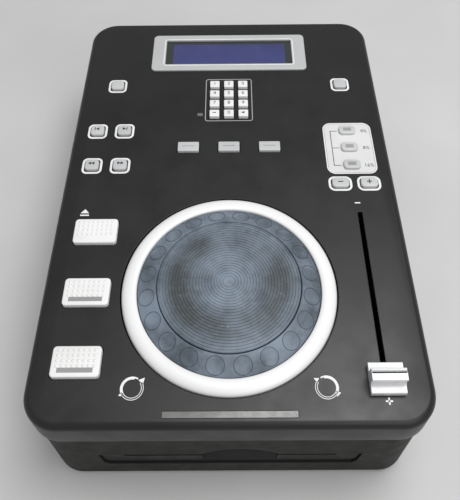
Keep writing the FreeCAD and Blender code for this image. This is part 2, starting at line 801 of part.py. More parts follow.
def make_control_board():
    """The board under the panel: cut corners clear the bosses, and a fork sensor reads the jog's encoder disc."""
    body = new_body("control_board")
    half_x, half_y, cut = s.board_width / 2, s.board_depth / 2, s.board_corner_cut
    outline = new_sketch(body, "outline", offset=BOARD_UNDER)
    draw_polygon(outline, [(half_x, cut - half_y), (half_x, half_y - cut), (half_x - cut, half_y),
                           (cut - half_x, half_y), (-half_x, half_y - cut), (-half_x, cut - half_y),
                           (cut - half_x, -half_y), (half_x - cut, -half_y)])
    pad(body, outline, s.board_wall)
    drum(body, [(0, s.jog_y)], s.shaft_radius + 2, BOARD_UNDER, s.board_wall, cut=True)
    fork_height = s.encoder_lift + s.encoder_wall / 2 + s.fork_slot
    block(body, s.encoder_radius, s.jog_y, 8, 10, BOARD_TOP, fork_height)
    slot_bottom = BOARD_TOP + s.encoder_lift + s.encoder_wall / 2 - s.fork_slot / 2
    block(body, s.encoder_radius - 2, s.jog_y, 6, 10, slot_bottom, s.fork_slot, cut=True)


def make_switches():
    """A push switch on the board under each key."""
    solids = []
    for name, form, x, y in key_table():
        solids.append(solid_box(x, y, s.switch_size, s.switch_size, BOARD_TOP, s.switch_height))
    add_shape("push_switches", solids)


def make_display():
    """Bezel, clear window and display module."""
    bezel = new_body("display_bezel", s.display_x, s.display_y, s.panel_top)
    rim = plate(bezel, 0, 0, s.bezel_width, s.bezel_depth, s.bezel_corner, 0, s.bezel_height)
    bevel_edges(bezel, rim, s.bezel_bevel, s.bezel_bevel, at_height(s.bezel_height))
    block(bezel, 0, 0, s.window_width, s.window_depth, 0, s.bezel_height, cut=True)
    glass = new_body("display_window", s.display_x, s.display_y, s.panel_top)
    lip = 2 * (s.window_lip - s.lens_gap)
    block(glass, 0, 0, s.window_width + lip, s.window_depth + lip, -s.window_wall, s.window_wall)
    module = new_body("lcd_module", s.display_x, s.display_y, s.panel_top)
    top = -s.window_wall - s.running_gap
    block(module, 0, 0, s.window_width + lip, s.window_depth + lip, -s.board_drop, s.board_drop + top)


def make_lens(label, x, y, width, depth):
    """A light pipe that fills its opening and is held by a lip under the panel."""
    body = new_body(label, x, y, s.panel_top)
    gap = 2 * s.lens_gap
    block(body, 0, s.lens_lip / 2, width + 2 * s.lens_lip, depth + s.lens_lip, -s.panel_wall - 1, 1)
    block(body, 0, 0, width - gap, depth - gap, -s.panel_wall, s.panel_wall + s.lens_gap)


def make_jog_wheel():
    """The silver rim and its disc, turned in one piece."""
    body = new_body("jog_wheel", 0, s.jog_y, s.panel_top)
    inner = s.pad_radius + s.pad_gap
    plate_top = -s.jog_plate_drop
    under = -s.well_depth + s.bush_rise + s.running_gap
    bore = s.shaft_radius + s.press_play
    revolve(body, [
        (bore, plate_top), (bore, under), (s.jog_radius, under), (s.jog_radius, s.jog_edge_height),
        (s.jog_crest_radius, s.jog_crest_height), (inner, s.jog_crest_height), (inner, plate_top),
    ])


def ring_of_points(radius, count):
    """The corners of a regular polygon with a flat facing +X."""
    spots = [math.pi * (2 * corner + 1) / count for corner in range(count)]
    return [(radius * math.cos(spot), radius * math.sin(spot)) for spot in spots]


def make_jog_pad():
    """The rubber pad: one sloping flat with a finger dimple for each finger place, round a raised middle."""
    body = new_body("jog_pad", 0, s.jog_y, s.panel_top)
    seat = -s.jog_plate_drop
    flats = DIMENSIONS["dimple_count"]
    outline = new_sketch(body, "flats", offset=seat)
    draw_polygon(outline, ring_of_points(s.pad_radius, flats))
    base = pad(body, outline, s.pad_shoulder_height - seat)
    run = s.pad_radius - s.pad_top_radius
    rise = s.pad_shoulder_height - s.pad_edge_height
    slopes = bevel_edges(body, base, rise, run, at_height(s.pad_shoulder_height))
    slopes.FlipDirection = True
    step = (s.pad_crown_height - s.pad_shoulder_height) / 2
    drum(body, [(0, 0)], s.terrace_radius, s.pad_shoulder_height, step)
    drum(body, [(0, 0)], s.button_radius, s.pad_shoulder_height + step, step)
    slope = math.degrees(math.atan2(float(rise), float(run)))
    face = s.pad_radius * math.cos(math.pi / flats)
    surface = s.pad_edge_height + rise * ((face - s.dimple_circle) / run)
    dimple = body.newObject("Sketcher::SketchObject", "dimple")
    dimple.AttachmentSupport = [(origin_item(body, "XY_Plane"), "")]
    dimple.MapMode = "FlatFace"
    dimple.AttachmentOffset = Placement(Vector(float(s.dimple_circle), 0, float(surface)),
                                        Rotation(Vector(0, 1, 0), slope))
    bind(dimple, "AttachmentOffset.Base.x", s.dimple_circle)
    bind(dimple, "AttachmentOffset.Base.z", surface)
    draw_polygon(dimple, ring_of_points(s.dimple_radius, 12))
    cut = pocket(body, dimple, s.dimple_depth)
    ring = body.newObject("PartDesign::PolarPattern", "dimples")
    ring.Originals = [cut]
    ring.Axis = (origin_item(body, "Z_Axis"), [""])
    ring.Angle = 360.0
    bind(ring, "Occurrences", s.dimple_count)
    body.Tip = ring


def make_jog_bearing():
    """Shaft, flanged bush and encoder disc of the jog wheel."""
    shaft = new_body("jog_shaft", 0, s.jog_y, 0)
    bottom = BOARD_TOP + 1
    drum(shaft, [(0, 0)], s.shaft_radius, bottom, s.panel_top - s.jog_plate_drop - s.press_play - bottom)
    bush = new_body("jog_bearing", 0, s.jog_y, WELL_FLOOR)
    bore = s.shaft_radius + s.bearing_play
    revolve(bush, [(bore, -s.bush_drop), (s.bush_radius, -s.bush_drop), (s.bush_radius, s.bush_rise),
                   (bore, s.bush_rise)])
    disc = new_body("encoder_disc", 0, s.jog_y, BOARD_TOP + s.encoder_lift)
    rim = new_sketch(disc, "rim")
    draw_polygon(rim, ring_of_points(s.encoder_radius, 24))
    pad(disc, rim, s.encoder_wall)
    drum(disc, [(0, 0)], s.shaft_radius + s.press_play, 0, s.encoder_wall, cut=True)


def make_fader():
    """Fader channel on the board, its carriage and the cap on the carriage's stem."""
    length = s.fader_travel + s.carriage_length + 2 * s.fader_end
    middle = s.fader_cap_y + s.fader_travel / 2
    channel = new_body("fader_body", s.fader_x, middle, BOARD_TOP)
    block(channel, 0, 0, s.fader_body_width, length, 0, s.fader_body_height)
    hollow = s.fader_body_height - 2 * s.fader_body_wall
    inner_width = s.carriage_width + 2 * s.slide_play
    inner = new_sketch(channel, "channel", offset=s.fader_body_wall)
    draw_rectangle(inner, as_size(0), as_size(0), inner_width, length - 2 * s.fader_body_wall)
    pocket(channel, inner, hollow, True)
    block(channel, 0, 0, s.stem_width + 4 * s.slide_play, length - 2 * s.fader_end,
          s.fader_body_height - s.fader_body_wall, s.fader_body_wall, cut=True)
    carriage = new_body("fader_carriage", s.fader_x, s.fader_cap_y, BOARD_TOP)
    shoe_bottom = s.fader_body_wall + s.slide_play
    shoe_height = hollow - 2 * s.slide_play
    block(carriage, 0, 0, s.carriage_width, s.carriage_length, shoe_bottom, shoe_height)
    stem_top = s.board_drop + s.cap_ridge_height - 3
    shoe_top = shoe_bottom + shoe_height
    block(carriage, 0, 0, s.stem_width, s.stem_length, shoe_top, stem_top - shoe_top)
    cap = new_body("fader_cap", s.fader_x, s.fader_cap_y, s.panel_top)
    front, back = -s.cap_length / 2, s.cap_length / 2
    flange, ridge, low = s.cap_flange_height, s.cap_ridge_height, s.cap_lift
    line_front = s.cap_ridge_back - 2.4
    line_back = line_front + s.cap_line_width
    extrude_side(cap, [
        (front, low), (back, low), (back, flange - 0.3), (back - 0.4, flange), (s.cap_ridge_back + 0.5, flange),
        (s.cap_ridge_back, ridge - 0.6), (s.cap_ridge_back - 0.5, ridge - 0.1), (line_back, ridge),
        (line_back, ridge - s.cap_line_depth), (line_front, ridge - s.cap_line_depth), (line_front, ridge),
        (s.cap_ridge_front + 0.4, ridge - 0.2), (s.cap_ridge_front, ridge - 0.9), (s.cap_ridge_front + 0.9, ridge - 3.2),
        (s.cap_ridge_front + 0.7, flange + 1.6), (s.cap_ridge_front - 0.3, flange + 0.2), (front + 0.4, flange - 0.1),
        (front, flange - 0.5),
    ], s.cap_width)
    play = 2 * s.lens_gap
    block(cap, 0, 0, s.stem_width + play, s.stem_length + play, low, ridge - 3 + s.lens_gap - low, cut=True)


def make_drive_bezel():
    """The drive's own front plate: a lip that fills the case's slot, the disc slit and the finger scoops."""
    body = new_body("drive_bezel")
    front = s.drive_front
    slab(body, 0, front + s.drive_bezel_wall / 2, s.drive_bezel_width, s.drive_bezel_wall, 0.6,
         s.drive_bezel_bottom, s.drive_bezel_height)
    low, high = s.slot_bottom + s.slot_lip_gap, s.slot_bottom + s.slot_height - s.slot_lip_gap
    half_low, half_high = s.slot_bottom_width / 2 - s.slot_lip_gap, s.slot_width / 2 - s.slot_lip_gap
    knee = (half_high - s.slot_corner_run, s.slot_bottom + s.slot_corner_rise)
    lip = new_sketch(body, "lip", "XZ_Plane", -front)
    draw_polygon(lip, [(-half_low, low), (half_low, low), knee, (half_high, high), (-half_high, high),
                       (-knee[0], knee[1])])
    pad(body, lip, s.slot_lip_rise)
    slit_top = s.disc_slit_bottom + s.disc_slit_height
    slit = new_sketch(body, "slit", "XZ_Plane", -front + s.slot_lip_rise)
    draw_rectangle(slit, as_size(0), s.disc_slit_bottom + s.disc_slit_height / 2, s.disc_slit_width, s.disc_slit_height)
    pocket(body, slit, s.drive_bezel_wall + s.slot_lip_rise)
    half = s.scoop_width / 2
    thumb = new_sketch(body, "thumb", "XZ_Plane", -front)
    draw_polygon(thumb, [(s.thumb_x - half, slit_top), (s.thumb_x + half, slit_top),
                         (s.thumb_x + half * 0.86, slit_top + s.scoop_height * 0.5),
                         (s.thumb_x + half * 0.5, slit_top + s.scoop_height * 0.9),
                         (s.thumb_x, slit_top + s.scoop_height + 1),
                         (s.thumb_x - half * 0.5, slit_top + s.scoop_height * 0.9),
                         (s.thumb_x - half * 0.86, slit_top + s.scoop_height * 0.5)])
    pocket(body, thumb, s.drive_bezel_wall - s.scoop_back_wall)
    face = front - s.slot_lip_rise
    edge = s.disc_slit_bottom
    extrude_side(body, [(face, edge - s.scoop_height), (face, edge), (face + s.scoop_depth, edge)],
                 s.scoop_width, s.thumb_x, cut=True)


def make_drive_deck():
    """The drive's tray and deck, with the openings for the roller, the turntable and the pickup."""
    body = new_body("drive_deck")
    middle = DRIVE_Y + s.drive_length / 2
    block(body, 0, middle, s.drive_width, s.drive_length, DRIVE_FLOOR, LID_BOTTOM - DRIVE_FLOOR)
    inner_width = s.drive_width - 2 * s.drive_wall
    inner_length = s.drive_length - s.drive_wall
    inner_y = DRIVE_Y + inner_length / 2
    block(body, 0, inner_y, inner_width, inner_length, DECK_TOP, LID_BOTTOM - DECK_TOP, cut=True)
    base = DRIVE_FLOOR + s.drive_wall
    deck_under = DECK_TOP - s.drive_wall
    under = deck_under - base
    block(body, 0, inner_y + s.drive_wall / 2, inner_width, inner_length - s.drive_wall, base, under, cut=True)
    block(body, 0, ROLLER_Y, s.roller_length + 2, 2 * s.roller_radius + 1.6, deck_under, s.drive_wall, cut=True)
    drum(body, [(0, TURNTABLE_Y)], s.turntable_radius + 1, deck_under, s.drive_wall, cut=True)
    window_length = s.turntable_radius + s.sled_gap + s.sled_length + s.sled_travel + 2
    block(body, 0, TURNTABLE_Y + window_length / 2, 18, window_length, deck_under, s.drive_wall, cut=True)
    motor_height = turntable_under() - 0.4 + DECK_TOP - base
    block(body, 0, TURNTABLE_Y, s.motor_size, s.motor_size, base, motor_height)
    drum(body, [(0, TURNTABLE_Y)], s.roller_pin_radius + s.bearing_play, base, motor_height, cut=True)
    for side in (-1, 1):
        rod_x = side * s.rod_spacing / 2
        for y in (rod_start() + s.cradle_length / 2, rod_start() + rod_length() - s.cradle_length / 2):
            block(body, rod_x, y, 6, s.cradle_length, base, s.rod_lift + s.rod_radius)
            block(body, rod_x, y, 2 * (s.rod_radius + s.press_play), s.cradle_length,
                  base + s.rod_lift - s.rod_radius - s.press_play, 2 * s.rod_radius + 1, cut=True)
    pins = new_sketch(body, "roller_pins", "YZ_Plane", -s.drive_width / 2)
    draw_circle(pins, ROLLER_Y, roller_height(), s.roller_pin_radius + s.bearing_play)
    pocket(body, pins, s.drive_width, True)


def rod_start():
    return TURNTABLE_Y + s.turntable_radius - 4


def rod_length():
    return s.sled_gap + s.sled_length + s.sled_travel + 12


def turntable_under():
    """The underside of the turntable, measured from the deck."""
    return s.spindle_rise - s.turntable_wall - 2 * s.running_gap


def roller_height():
    return DECK_TOP + 0.5 - s.roller_radius


def make_drive_top():
    """The drive's lid with a thumb notch at the front."""
    body = new_body("drive_top_plate")
    block(body, 0, DRIVE_Y + s.drive_length / 2, s.drive_width, s.drive_length, LID_BOTTOM, s.drive_wall)
    half = s.scoop_width / 2
    reach = (half * half + s.thumb_notch * s.thumb_notch) / (2 * s.thumb_notch)
    drum(body, [(s.thumb_x, DRIVE_Y + s.thumb_notch - reach)], reach, LID_BOTTOM, s.drive_wall, cut=True)


def make_roller():
    """The rubber loading roller on its pins, which turn in the drive's side walls."""
    body = new_body("loading_roller", 0, ROLLER_Y, roller_height())
    half = s.roller_length / 2
    pin = s.drive_width / 2 - s.running_gap
    sketch = new_sketch(body, "profile", "XY_Plane")
    draw_polygon(sketch, [(-pin, as_size(0)), (pin, as_size(0)), (pin, s.roller_pin_radius), (half, s.roller_pin_radius),
                          (half, s.roller_radius), (-half, s.roller_radius),
                          (-half, s.roller_pin_radius), (-pin, s.roller_pin_radius)])
    made = body.newObject("PartDesign::Revolution", "turned")
    made.Profile = sketch
    made.ReferenceAxis = (origin_item(body, "X_Axis"), [""])
    made.Angle = 360.0


def make_turntable():
    """The small turntable with its centring cone and its shaft in the motor."""
    body = new_body("turntable", 0, TURNTABLE_Y, DECK_TOP)
    top = -s.running_gap
    under = turntable_under()
    shaft_bottom = DRIVE_FLOOR + s.drive_wall + 0.4 - DECK_TOP
    pin = s.roller_pin_radius
    cone = s.spindle_rise - 0.6
    revolve(body, [(0, shaft_bottom), (pin, shaft_bottom), (pin, under), (s.turntable_radius, under),
                   (s.turntable_radius, top), (0, top)])
    hub = new_sketch(body, "hub", offset=top)
    draw_polygon(hub, ring_of_points(s.spindle_radius, 12))
    pad(body, hub, cone - top)


def sled_rest_y():
    return TURNTABLE_Y + s.turntable_radius + s.sled_gap + s.sled_length / 2


def make_pickup():
    """The pickup sled with its lens, on two steel guide rods."""
    rod_z = DRIVE_FLOOR + s.drive_wall + s.rod_lift
    body = new_body("pickup_sled", 0, sled_rest_y(), rod_z)
    block(body, 0, 0, s.rod_spacing + 8, s.sled_length, -s.sled_height / 2, s.sled_height)
    channel = s.rod_radius + s.bearing_play
    for side in (-1, 1):
        block(body, side * s.rod_spacing / 2, 0, 2 * channel, s.sled_length, -s.sled_height / 2,
              s.sled_height / 2 + channel, cut=True)
    drum(body, [(0, 0)], s.lens_radius, s.sled_height / 2, 1.8)
    rods = []
    for side in (-1, 1):
        base = Vector(side * float(s.rod_spacing) / 2, float(rod_start()), float(rod_z))
        rods.append(Part.makeCylinder(float(s.rod_radius), float(rod_length()), base, Vector(0, 1, 0)))
    add_shape("guide_rods", rods)


def make_rear():
    """Jacks in the rear bay, and the inlet module with its rocker switch."""
    jack_z = float(s.bay_bottom + s.bay_height / 3)
    face = float(CASE_BACK - s.bay_depth)
    jacks = solid_box(s.bay_x, face - float(s.jack_block_depth) / 2, s.jack_block_width, s.jack_block_depth,
                      jack_z - float(s.jack_block_height) / 2, s.jack_block_height)
    for place in (-1, 0, 1):
        base = Vector(float(s.bay_x + place * s.jack_pitch), face, jack_z)
        sleeve = Part.makeCylinder(float(s.jack_radius), float(s.jack_length), base, Vector(0, 1, 0))
        jacks = jacks.fuse(sleeve)
    add_shape("rear_jacks", [jacks])
    body = new_body("power_inlet", s.inlet_x, CASE_BACK, s.inlet_bottom + s.inlet_height / 2)
    flange = new_sketch(body, "flange", "XZ_Plane", -s.inlet_flange)
    draw_polygon(flange, clipped(as_size(0), as_size(0), s.inlet_width, s.inlet_height, s.inlet_corner))
    pad(body, flange, s.inlet_flange)
    rim = 2 * s.inlet_flange + 2 * s.lens_gap
    module = new_sketch(body, "module", "XZ_Plane", 0)
    draw_rectangle(module, as_size(0), as_size(0), s.inlet_width - rim, s.inlet_height - rim)
    pad(body, module, s.inlet_depth)
    mouth = new_sketch(body, "mouth", "XZ_Plane", -s.inlet_flange)
    draw_rectangle(mouth, INLET_SOCKET_X, as_size(0), s.socket_width, s.socket_height)
    pocket(body, mouth, s.socket_depth, True)
    pins = new_sketch(body, "pins", "XZ_Plane", -s.inlet_flange + s.socket_depth)
    for x, z in ((-7.0, -2.0), (7.0, -2.0), (0.0, 2.0)):
        draw_rectangle(pins, INLET_SOCKET_X + x, as_size(z), as_size(2), as_size(4))
    pad(body, pins, s.socket_depth - 6, True)
    well = new_sketch(body, "rocker_well", "XZ_Plane", -s.inlet_flange)
    draw_rectangle(well, ROCKER_X, as_size(0), s.rocker_width + 2 * s.running_gap, s.rocker_opening)
    pocket(body, well, s.socket_depth, True)
    seat_reach = s.rocker_width / 2 + s.running_gap + s.rocker_pin_reach
    seats = new_sketch(body, "rocker_pin_seats", "YZ_Plane", ROCKER_X - seat_reach)
    draw_circle(seats, rocker_pivot_y() - CASE_BACK, as_size(0), s.rocker_pin_radius + s.bearing_play)
    pocket(body, seats, 2 * seat_reach, True)
    make_rocker()


INLET_SOCKET_X = s.inlet_width / 2 - s.socket_width / 2 - 4
ROCKER_X = -s.inlet_width / 2 + s.rocker_width / 2 + 5


def rocker_pivot_y():
    return CASE_BACK - 5.0


def make_rocker():
    """The rocker: a shallow V paddle, tilted to the off side at rest, on its pivot pins."""
    body = new_body("power_rocker", s.inlet_x + ROCKER_X, rocker_pivot_y(), s.inlet_bottom + s.inlet_height / 2)
    reach = s.rocker_opening / 2 - s.running_gap
    tilt = math.radians(float(s.rocker_swing) / 2)
    flat = [(3.2, 0.0), (5.2, 0.72), (0.5, 0.86), (-4.0, 0.55), (-4.0, -0.55), (0.5, -0.86), (5.2, -0.72)]
    points = []
    for depth, share in flat:
        height = share * float(reach)
        y = depth * math.cos(tilt) - height * math.sin(tilt)
        z = depth * math.sin(tilt) + height * math.cos(tilt)
        points.append((as_size(y), reach * (z / float(reach))))
    extrude_side(body, points, s.rocker_width)
    pin_reach = s.rocker_width / 2 + s.rocker_pin_reach
    pins = new_sketch(body, "pivot_pins", "YZ_Plane", -pin_reach)
    draw_circle(pins, as_size(0), as_size(0), s.rocker_pin_radius)
    pad(body, pins, 2 * pin_reach)


def make_floor_board(label, board, boxes):
    """A circuit board on the floor standoffs with its main components."""
    body = new_body(label, board.x, board.y, FLOOR_TOP + s.standoff_height)
    block(body, 0, 0, board.width, board.depth, 0, s.board_wall)
    for x, y, width, depth, height in boxes:
        block(body, x, y, width, depth, s.board_wall, height)


def make_boards():
    make_floor_board("main_board", MAIN_BOARD,
                     boxes=((-20.0, 10.0, 24.0, 24.0, 2.0), (22.0, 22.0, 18.0, 18.0, 2.0), (10.0, -26.0, 30.0, 8.0, 9.0)))
    make_floor_board("power_board", POWER_BOARD,
                     boxes=((-8.0, 14.0, 42.0, 36.0, 34.0), (-8.0, -34.0, 40.0, 6.0, 24.0), (26.0, 34.0, 12.0, 12.0, 12.0)))


make_top_cover()
make_bottom_case()
make_feet()
make_screws()
make_control_board()
make_switches()
make_display()
make_lens("disc_light_bar", s.light_bar_x, s.light_bar_y, s.light_bar_width, s.light_bar_depth)
make_lens("memory_light", s.memory_light_x, s.memory_light_y, s.memory_light_width, s.memory_light_depth)
for name, form, x, y in key_table():
    make_key(name, form, x, y)
make_jog_wheel()
make_jog_pad()
make_jog_bearing()
make_fader()
make_drive_bezel()
make_drive_deck()
make_drive_top()
make_roller()
make_turntable()
make_pickup()
make_rear()
make_boards()
doc.recompute()

# Every object and every sub-part is checked before anything is written.
for item in doc.Objects:
    if "Invalid" in item.State or "Error" in item.State:
        raise SystemExit(f"{item.Label} failed: {item.State}")
for label, part in parts.items():
    if part.Shape.isNull() or not part.Shape.isValid():
        raise SystemExit(f"{label} has no valid shape")
os.makedirs("parts", exist_ok=True)
for label, part in parts.items():
    part.Shape.exportStep(f"parts/{label}.step")
print(len(parts), "sub-parts written")
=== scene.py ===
import json
import math

import bmesh
import bpy
from mathutils import Matrix, Vector


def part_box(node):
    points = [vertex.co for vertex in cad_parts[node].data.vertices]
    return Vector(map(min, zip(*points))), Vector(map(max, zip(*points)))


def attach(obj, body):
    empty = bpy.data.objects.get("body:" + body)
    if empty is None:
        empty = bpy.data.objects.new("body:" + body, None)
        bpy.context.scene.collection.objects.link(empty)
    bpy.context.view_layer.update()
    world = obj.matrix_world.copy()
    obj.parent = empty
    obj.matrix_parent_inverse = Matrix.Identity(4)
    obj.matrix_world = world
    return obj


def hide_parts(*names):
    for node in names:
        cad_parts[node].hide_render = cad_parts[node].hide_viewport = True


# The looks of a tabletop disc player. Lengths in this file are millimetres unless a name says otherwise.
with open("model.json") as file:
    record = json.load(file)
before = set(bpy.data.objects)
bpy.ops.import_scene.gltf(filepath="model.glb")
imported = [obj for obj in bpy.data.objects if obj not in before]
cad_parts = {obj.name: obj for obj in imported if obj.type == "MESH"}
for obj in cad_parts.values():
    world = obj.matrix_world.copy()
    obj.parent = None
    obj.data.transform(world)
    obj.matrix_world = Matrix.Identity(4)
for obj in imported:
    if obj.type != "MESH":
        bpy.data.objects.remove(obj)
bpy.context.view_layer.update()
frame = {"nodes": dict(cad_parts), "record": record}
shown = frame["nodes"]
bpy.ops.object.select_all(action="DESELECT")
MM = 0.001
TOUCH = 1e-7  # metres: two corners nearer than this lie on one plane or one upright line

# Heights above the table, and places on the panel as x and y from its middle
PANEL = 93.6
PRINT_HEIGHT = 0.06
JOG = (0.0, -82.0)
DISPLAY = (0.2, 124.2)
LIGHT_BAR = (0.4, -155.0)
MEMORY_LIGHT = (-20.9, 58.0)
FADER_SLOT = (84.6, -86.3)
TURN_ARROW_X, TURN_ARROW_Y = 52.4, -141.1
KEYPAD = (0.1, 72.5)
KEYPAD_PITCH = (10.55, 9.95)
SMALL_KEYS = {
    "single_key": (-84.2, 87.8), "time_key": (84.2, 87.8),
    "skip_back_key": (-93.8, 42.4), "skip_forward_key": (-74.6, 42.4),
    "search_back_key": (-93.8, 11.1), "search_forward_key": (-74.6, 11.1),
}
LOOP_ROW = 26.6
LOOP_KEYS = {"loop_in_key": -28.3, "loop_out_key": 0.1, "reloop_key": 28.5}
RANGE_X = 84.2
RANGE_KEYS = (("range_4_key", "4%", 40.9), ("range_8_key", "8%", 25.4), ("range_16_key", "16%", 9.9))
BEND_ROW = -5.5
BEND_KEYS = {"bend_down_key": 74.6, "bend_up_key": 93.8}
LARGE_X = -84.2
LARGE_KEYS = {"stop_key": -42.6, "cue_key": -84.75, "play_key": -126.9}

# Each kind of key cap: width, depth, height above the panel, corner radius, top edge radius
KEYPAD_CAP = (7.1, 6.6, 2.4, 0.7, 0.45)
SMALL_CAP = (9.4, 8.9, 2.0, 2.4, 0.75)
LOOP_CAP = (14.8, 8.3, 1.8, 0.9, 0.45)
RANGE_CAP = (11.6, 7.6, 2.0, 2.7, 0.7)
BEND_CAP = (11.4, 7.8, 2.0, 2.7, 0.7)
LARGE_CAP = (27.2, 17.6, 2.55, 2.2, 0.75)
CAP_DEPTH_BELOW = 2.6
KEY_CLEARANCE = 1.0


# ---------------------------------------------------------------- modelling helpers
def at(*values):
    """Millimetres to metres."""
    return tuple(value * MM for value in values)


def only(piece):
    """Makes this the one selected and active piece."""
    bpy.ops.object.select_all(action="DESELECT")
    piece.select_set(True)
    bpy.context.view_layer.objects.active = piece


def settle(piece):
    """Puts the piece's place, turn and scale into its mesh."""
    only(piece)
    bpy.ops.object.transform_apply(location=True, rotation=True, scale=True)
    return piece


def named(name):
    """Names the piece that was just added, and settles it."""
    piece = bpy.context.object
    piece.name = name
    return settle(piece)


def pick(piece, kind, wanted):
    """Selects the faces, edges or corners of the mesh being edited that are wanted."""
    bpy.ops.mesh.select_mode(type=kind)
    bpy.ops.mesh.select_all(action="DESELECT")
    mesh = bmesh.from_edit_mesh(piece.data)
    group = {"FACE": mesh.faces, "EDGE": mesh.edges, "VERT": mesh.verts}[kind]
    for item in group:
        if wanted(item):
            item.select_set(True)
    bmesh.update_edit_mesh(piece.data)


def editing(piece, on):
    """Goes into edit mode on a piece, or back out of it."""
    if on:
        only(piece)
    bpy.ops.object.mode_set(mode="EDIT" if on else "OBJECT")
    if on:
        bpy.ops.mesh.select_mode(type="VERT")


def tidy_mesh(piece, sharp=35.0):
    """Merges doubles, points the faces outwards and shades smooth up to an angle."""
    editing(piece, True)
    bpy.ops.mesh.select_all(action="SELECT")
    bpy.ops.mesh.remove_doubles(threshold=0.000002)
    bpy.ops.mesh.normals_make_consistent(inside=False)
    editing(piece, False)
    bpy.ops.object.shade_smooth_by_angle(angle=math.radians(sharp))
    return piece


def join(name, pieces):
    """Several meshes made one piece."""
    bpy.ops.object.select_all(action="DESELECT")
    for piece in pieces:
        piece.select_set(True)
    bpy.context.view_layer.objects.active = pieces[0]
    if len(pieces) > 1:
        bpy.ops.object.join()
    pieces[0].name = name
    return pieces[0]


def copy_of(piece, name, x=0, y=0, z=0):
    """A copy with a mesh of its own, moved by x, y and z."""
    twin = piece.copy()
    twin.data = piece.data.copy()
    twin.name = name
    bpy.context.collection.objects.link(twin)
    twin.location = at(x, y, z)
    return settle(twin)


def apply_modifier(piece, kind, **settings):
    """Adds a modifier with these settings and applies it."""
    only(piece)
    modifier = piece.modifiers.new(kind.lower(), kind)
    for key, value in settings.items():
        setattr(modifier, key, value)
    bpy.ops.object.modifier_apply(modifier=modifier.name)


def upright(edge):
    a, b = (vertex.co for vertex in edge.verts)
    return abs(a.x - b.x) < TOUCH and abs(a.y - b.y) < TOUCH


def along_top(height):
    """A test for edges that lie at a height, for pick."""
    return lambda edge: all(abs(vertex.co.z - height * MM) < TOUCH for vertex in edge.verts)


def block(name, x, y, bottom, width, depth, height, corner=0.0, edge=0.0, steps=5):
    """A box with rounded upright corners and a rounded top edge."""
    bpy.ops.mesh.primitive_cube_add(size=1, location=at(x, y, bottom + height / 2),
                                    scale=at(width, depth, height))
    piece = named(name)
    editing(piece, True)
    if corner:
        pick(piece, "EDGE", upright)
        bpy.ops.mesh.bevel(offset=corner * MM, segments=steps, affect="EDGES")
    if edge:
        pick(piece, "EDGE", along_top(bottom + height))
        bpy.ops.mesh.bevel(offset=edge * MM, segments=3, affect="EDGES")
    editing(piece, False)
    return piece


def turned(name, x, y, outline, steps=96, base=PANEL):
    """A ring or disc spun about an upright axis from radius and height pairs above the base."""
    bpy.ops.mesh.primitive_plane_add(size=0.0001, location=at(x + outline[0][0], y, base + outline[0][1]))
    piece = named(name)
    editing(piece, True)
    bpy.ops.mesh.select_all(action="SELECT")
    bpy.ops.mesh.merge(type="CENTER")
    for (r0, h0), (r1, h1) in zip(outline, outline[1:]):
        bpy.ops.mesh.extrude_vertices_move(TRANSFORM_OT_translate={"value": at(r1 - r0, 0, h1 - h0)})
    bpy.ops.mesh.select_all(action="SELECT")
    bpy.ops.mesh.spin(steps=steps, angle=2 * math.pi, center=at(x, y, base), axis=(0, 0, 1))
    editing(piece, False)
    return tidy_mesh(piece)


def lifted(piece):
    """Gives a flat outline its thickness, from just inside the panel to just above it."""
    editing(piece, True)
    bpy.ops.mesh.select_all(action="SELECT")
    bpy.ops.mesh.extrude_region_move(TRANSFORM_OT_translate={"value": at(0, 0, PRINT_HEIGHT)})
    editing(piece, False)
    return tidy_mesh(piece, 20)


def flat_ring(name, x, y, width, depth, corner, line, z=PANEL):
    """A printed outline: a rounded rectangle of a given line width."""
    bpy.ops.mesh.primitive_plane_add(size=1, location=at(x, y, z - PRINT_HEIGHT / 3))
    piece = bpy.context.object
    piece.scale = (width * MM, depth * MM, 1)
    named(name)
    editing(piece, True)
    if corner:
        bpy.ops.mesh.select_all(action="SELECT")
        bpy.ops.mesh.bevel(offset=corner * MM, segments=7, affect="VERTICES")
    if line:
        bpy.ops.mesh.select_all(action="SELECT")
        bpy.ops.mesh.inset(thickness=line * MM)
        bpy.ops.mesh.delete(type="FACE")
    editing(piece, False)
    return lifted(piece)


def flat_patch(name, x, y, width, depth, corner=0.0, z=PANEL):
    """A printed rectangle, filled in."""
    return flat_ring(name, x, y, width, depth, corner, 0, z)


def flat_arc(name, x, y, radius, line, start, end, z=PANEL):
    """Part of a printed circle, between two compass-like angles in degrees, anticlockwise from +X."""
    bpy.ops.mesh.primitive_circle_add(vertices=96, radius=radius * MM, fill_type="NGON",
                                      location=at(x, y, z - PRINT_HEIGHT / 3))
    piece = named(name)
    editing(piece, True)
    bpy.ops.mesh.select_all(action="SELECT")
    bpy.ops.mesh.inset(thickness=line * MM)
    bpy.ops.mesh.delete(type="FACE")

    def outside(face):
        spot = face.calc_center_median()
        angle = math.degrees(math.atan2(spot.y - y * MM, spot.x - x * MM)) % 360
        return (angle - start) % 360 > (end - start)

    pick(piece, "FACE", outside)
    bpy.ops.mesh.delete(type="FACE")
    editing(piece, False)
    return lifted(piece)


def flat_arrow(name, x, y, length, width, turn, z=PANEL):
    """A printed triangle that points along an angle in degrees."""
    bpy.ops.mesh.primitive_circle_add(vertices=3, radius=1, fill_type="NGON", location=(0, 0, 0),
                                      rotation=(0, 0, math.radians(-90)))
    piece = named(name)
    piece.scale = (length / 1.5 * MM, width / 1.7320508 * MM, 1)
    settle(piece)
    piece.rotation_euler = (0, 0, math.radians(turn))
    piece.location = at(x, y, z - PRINT_HEIGHT / 3)
    settle(piece)
    return lifted(piece)


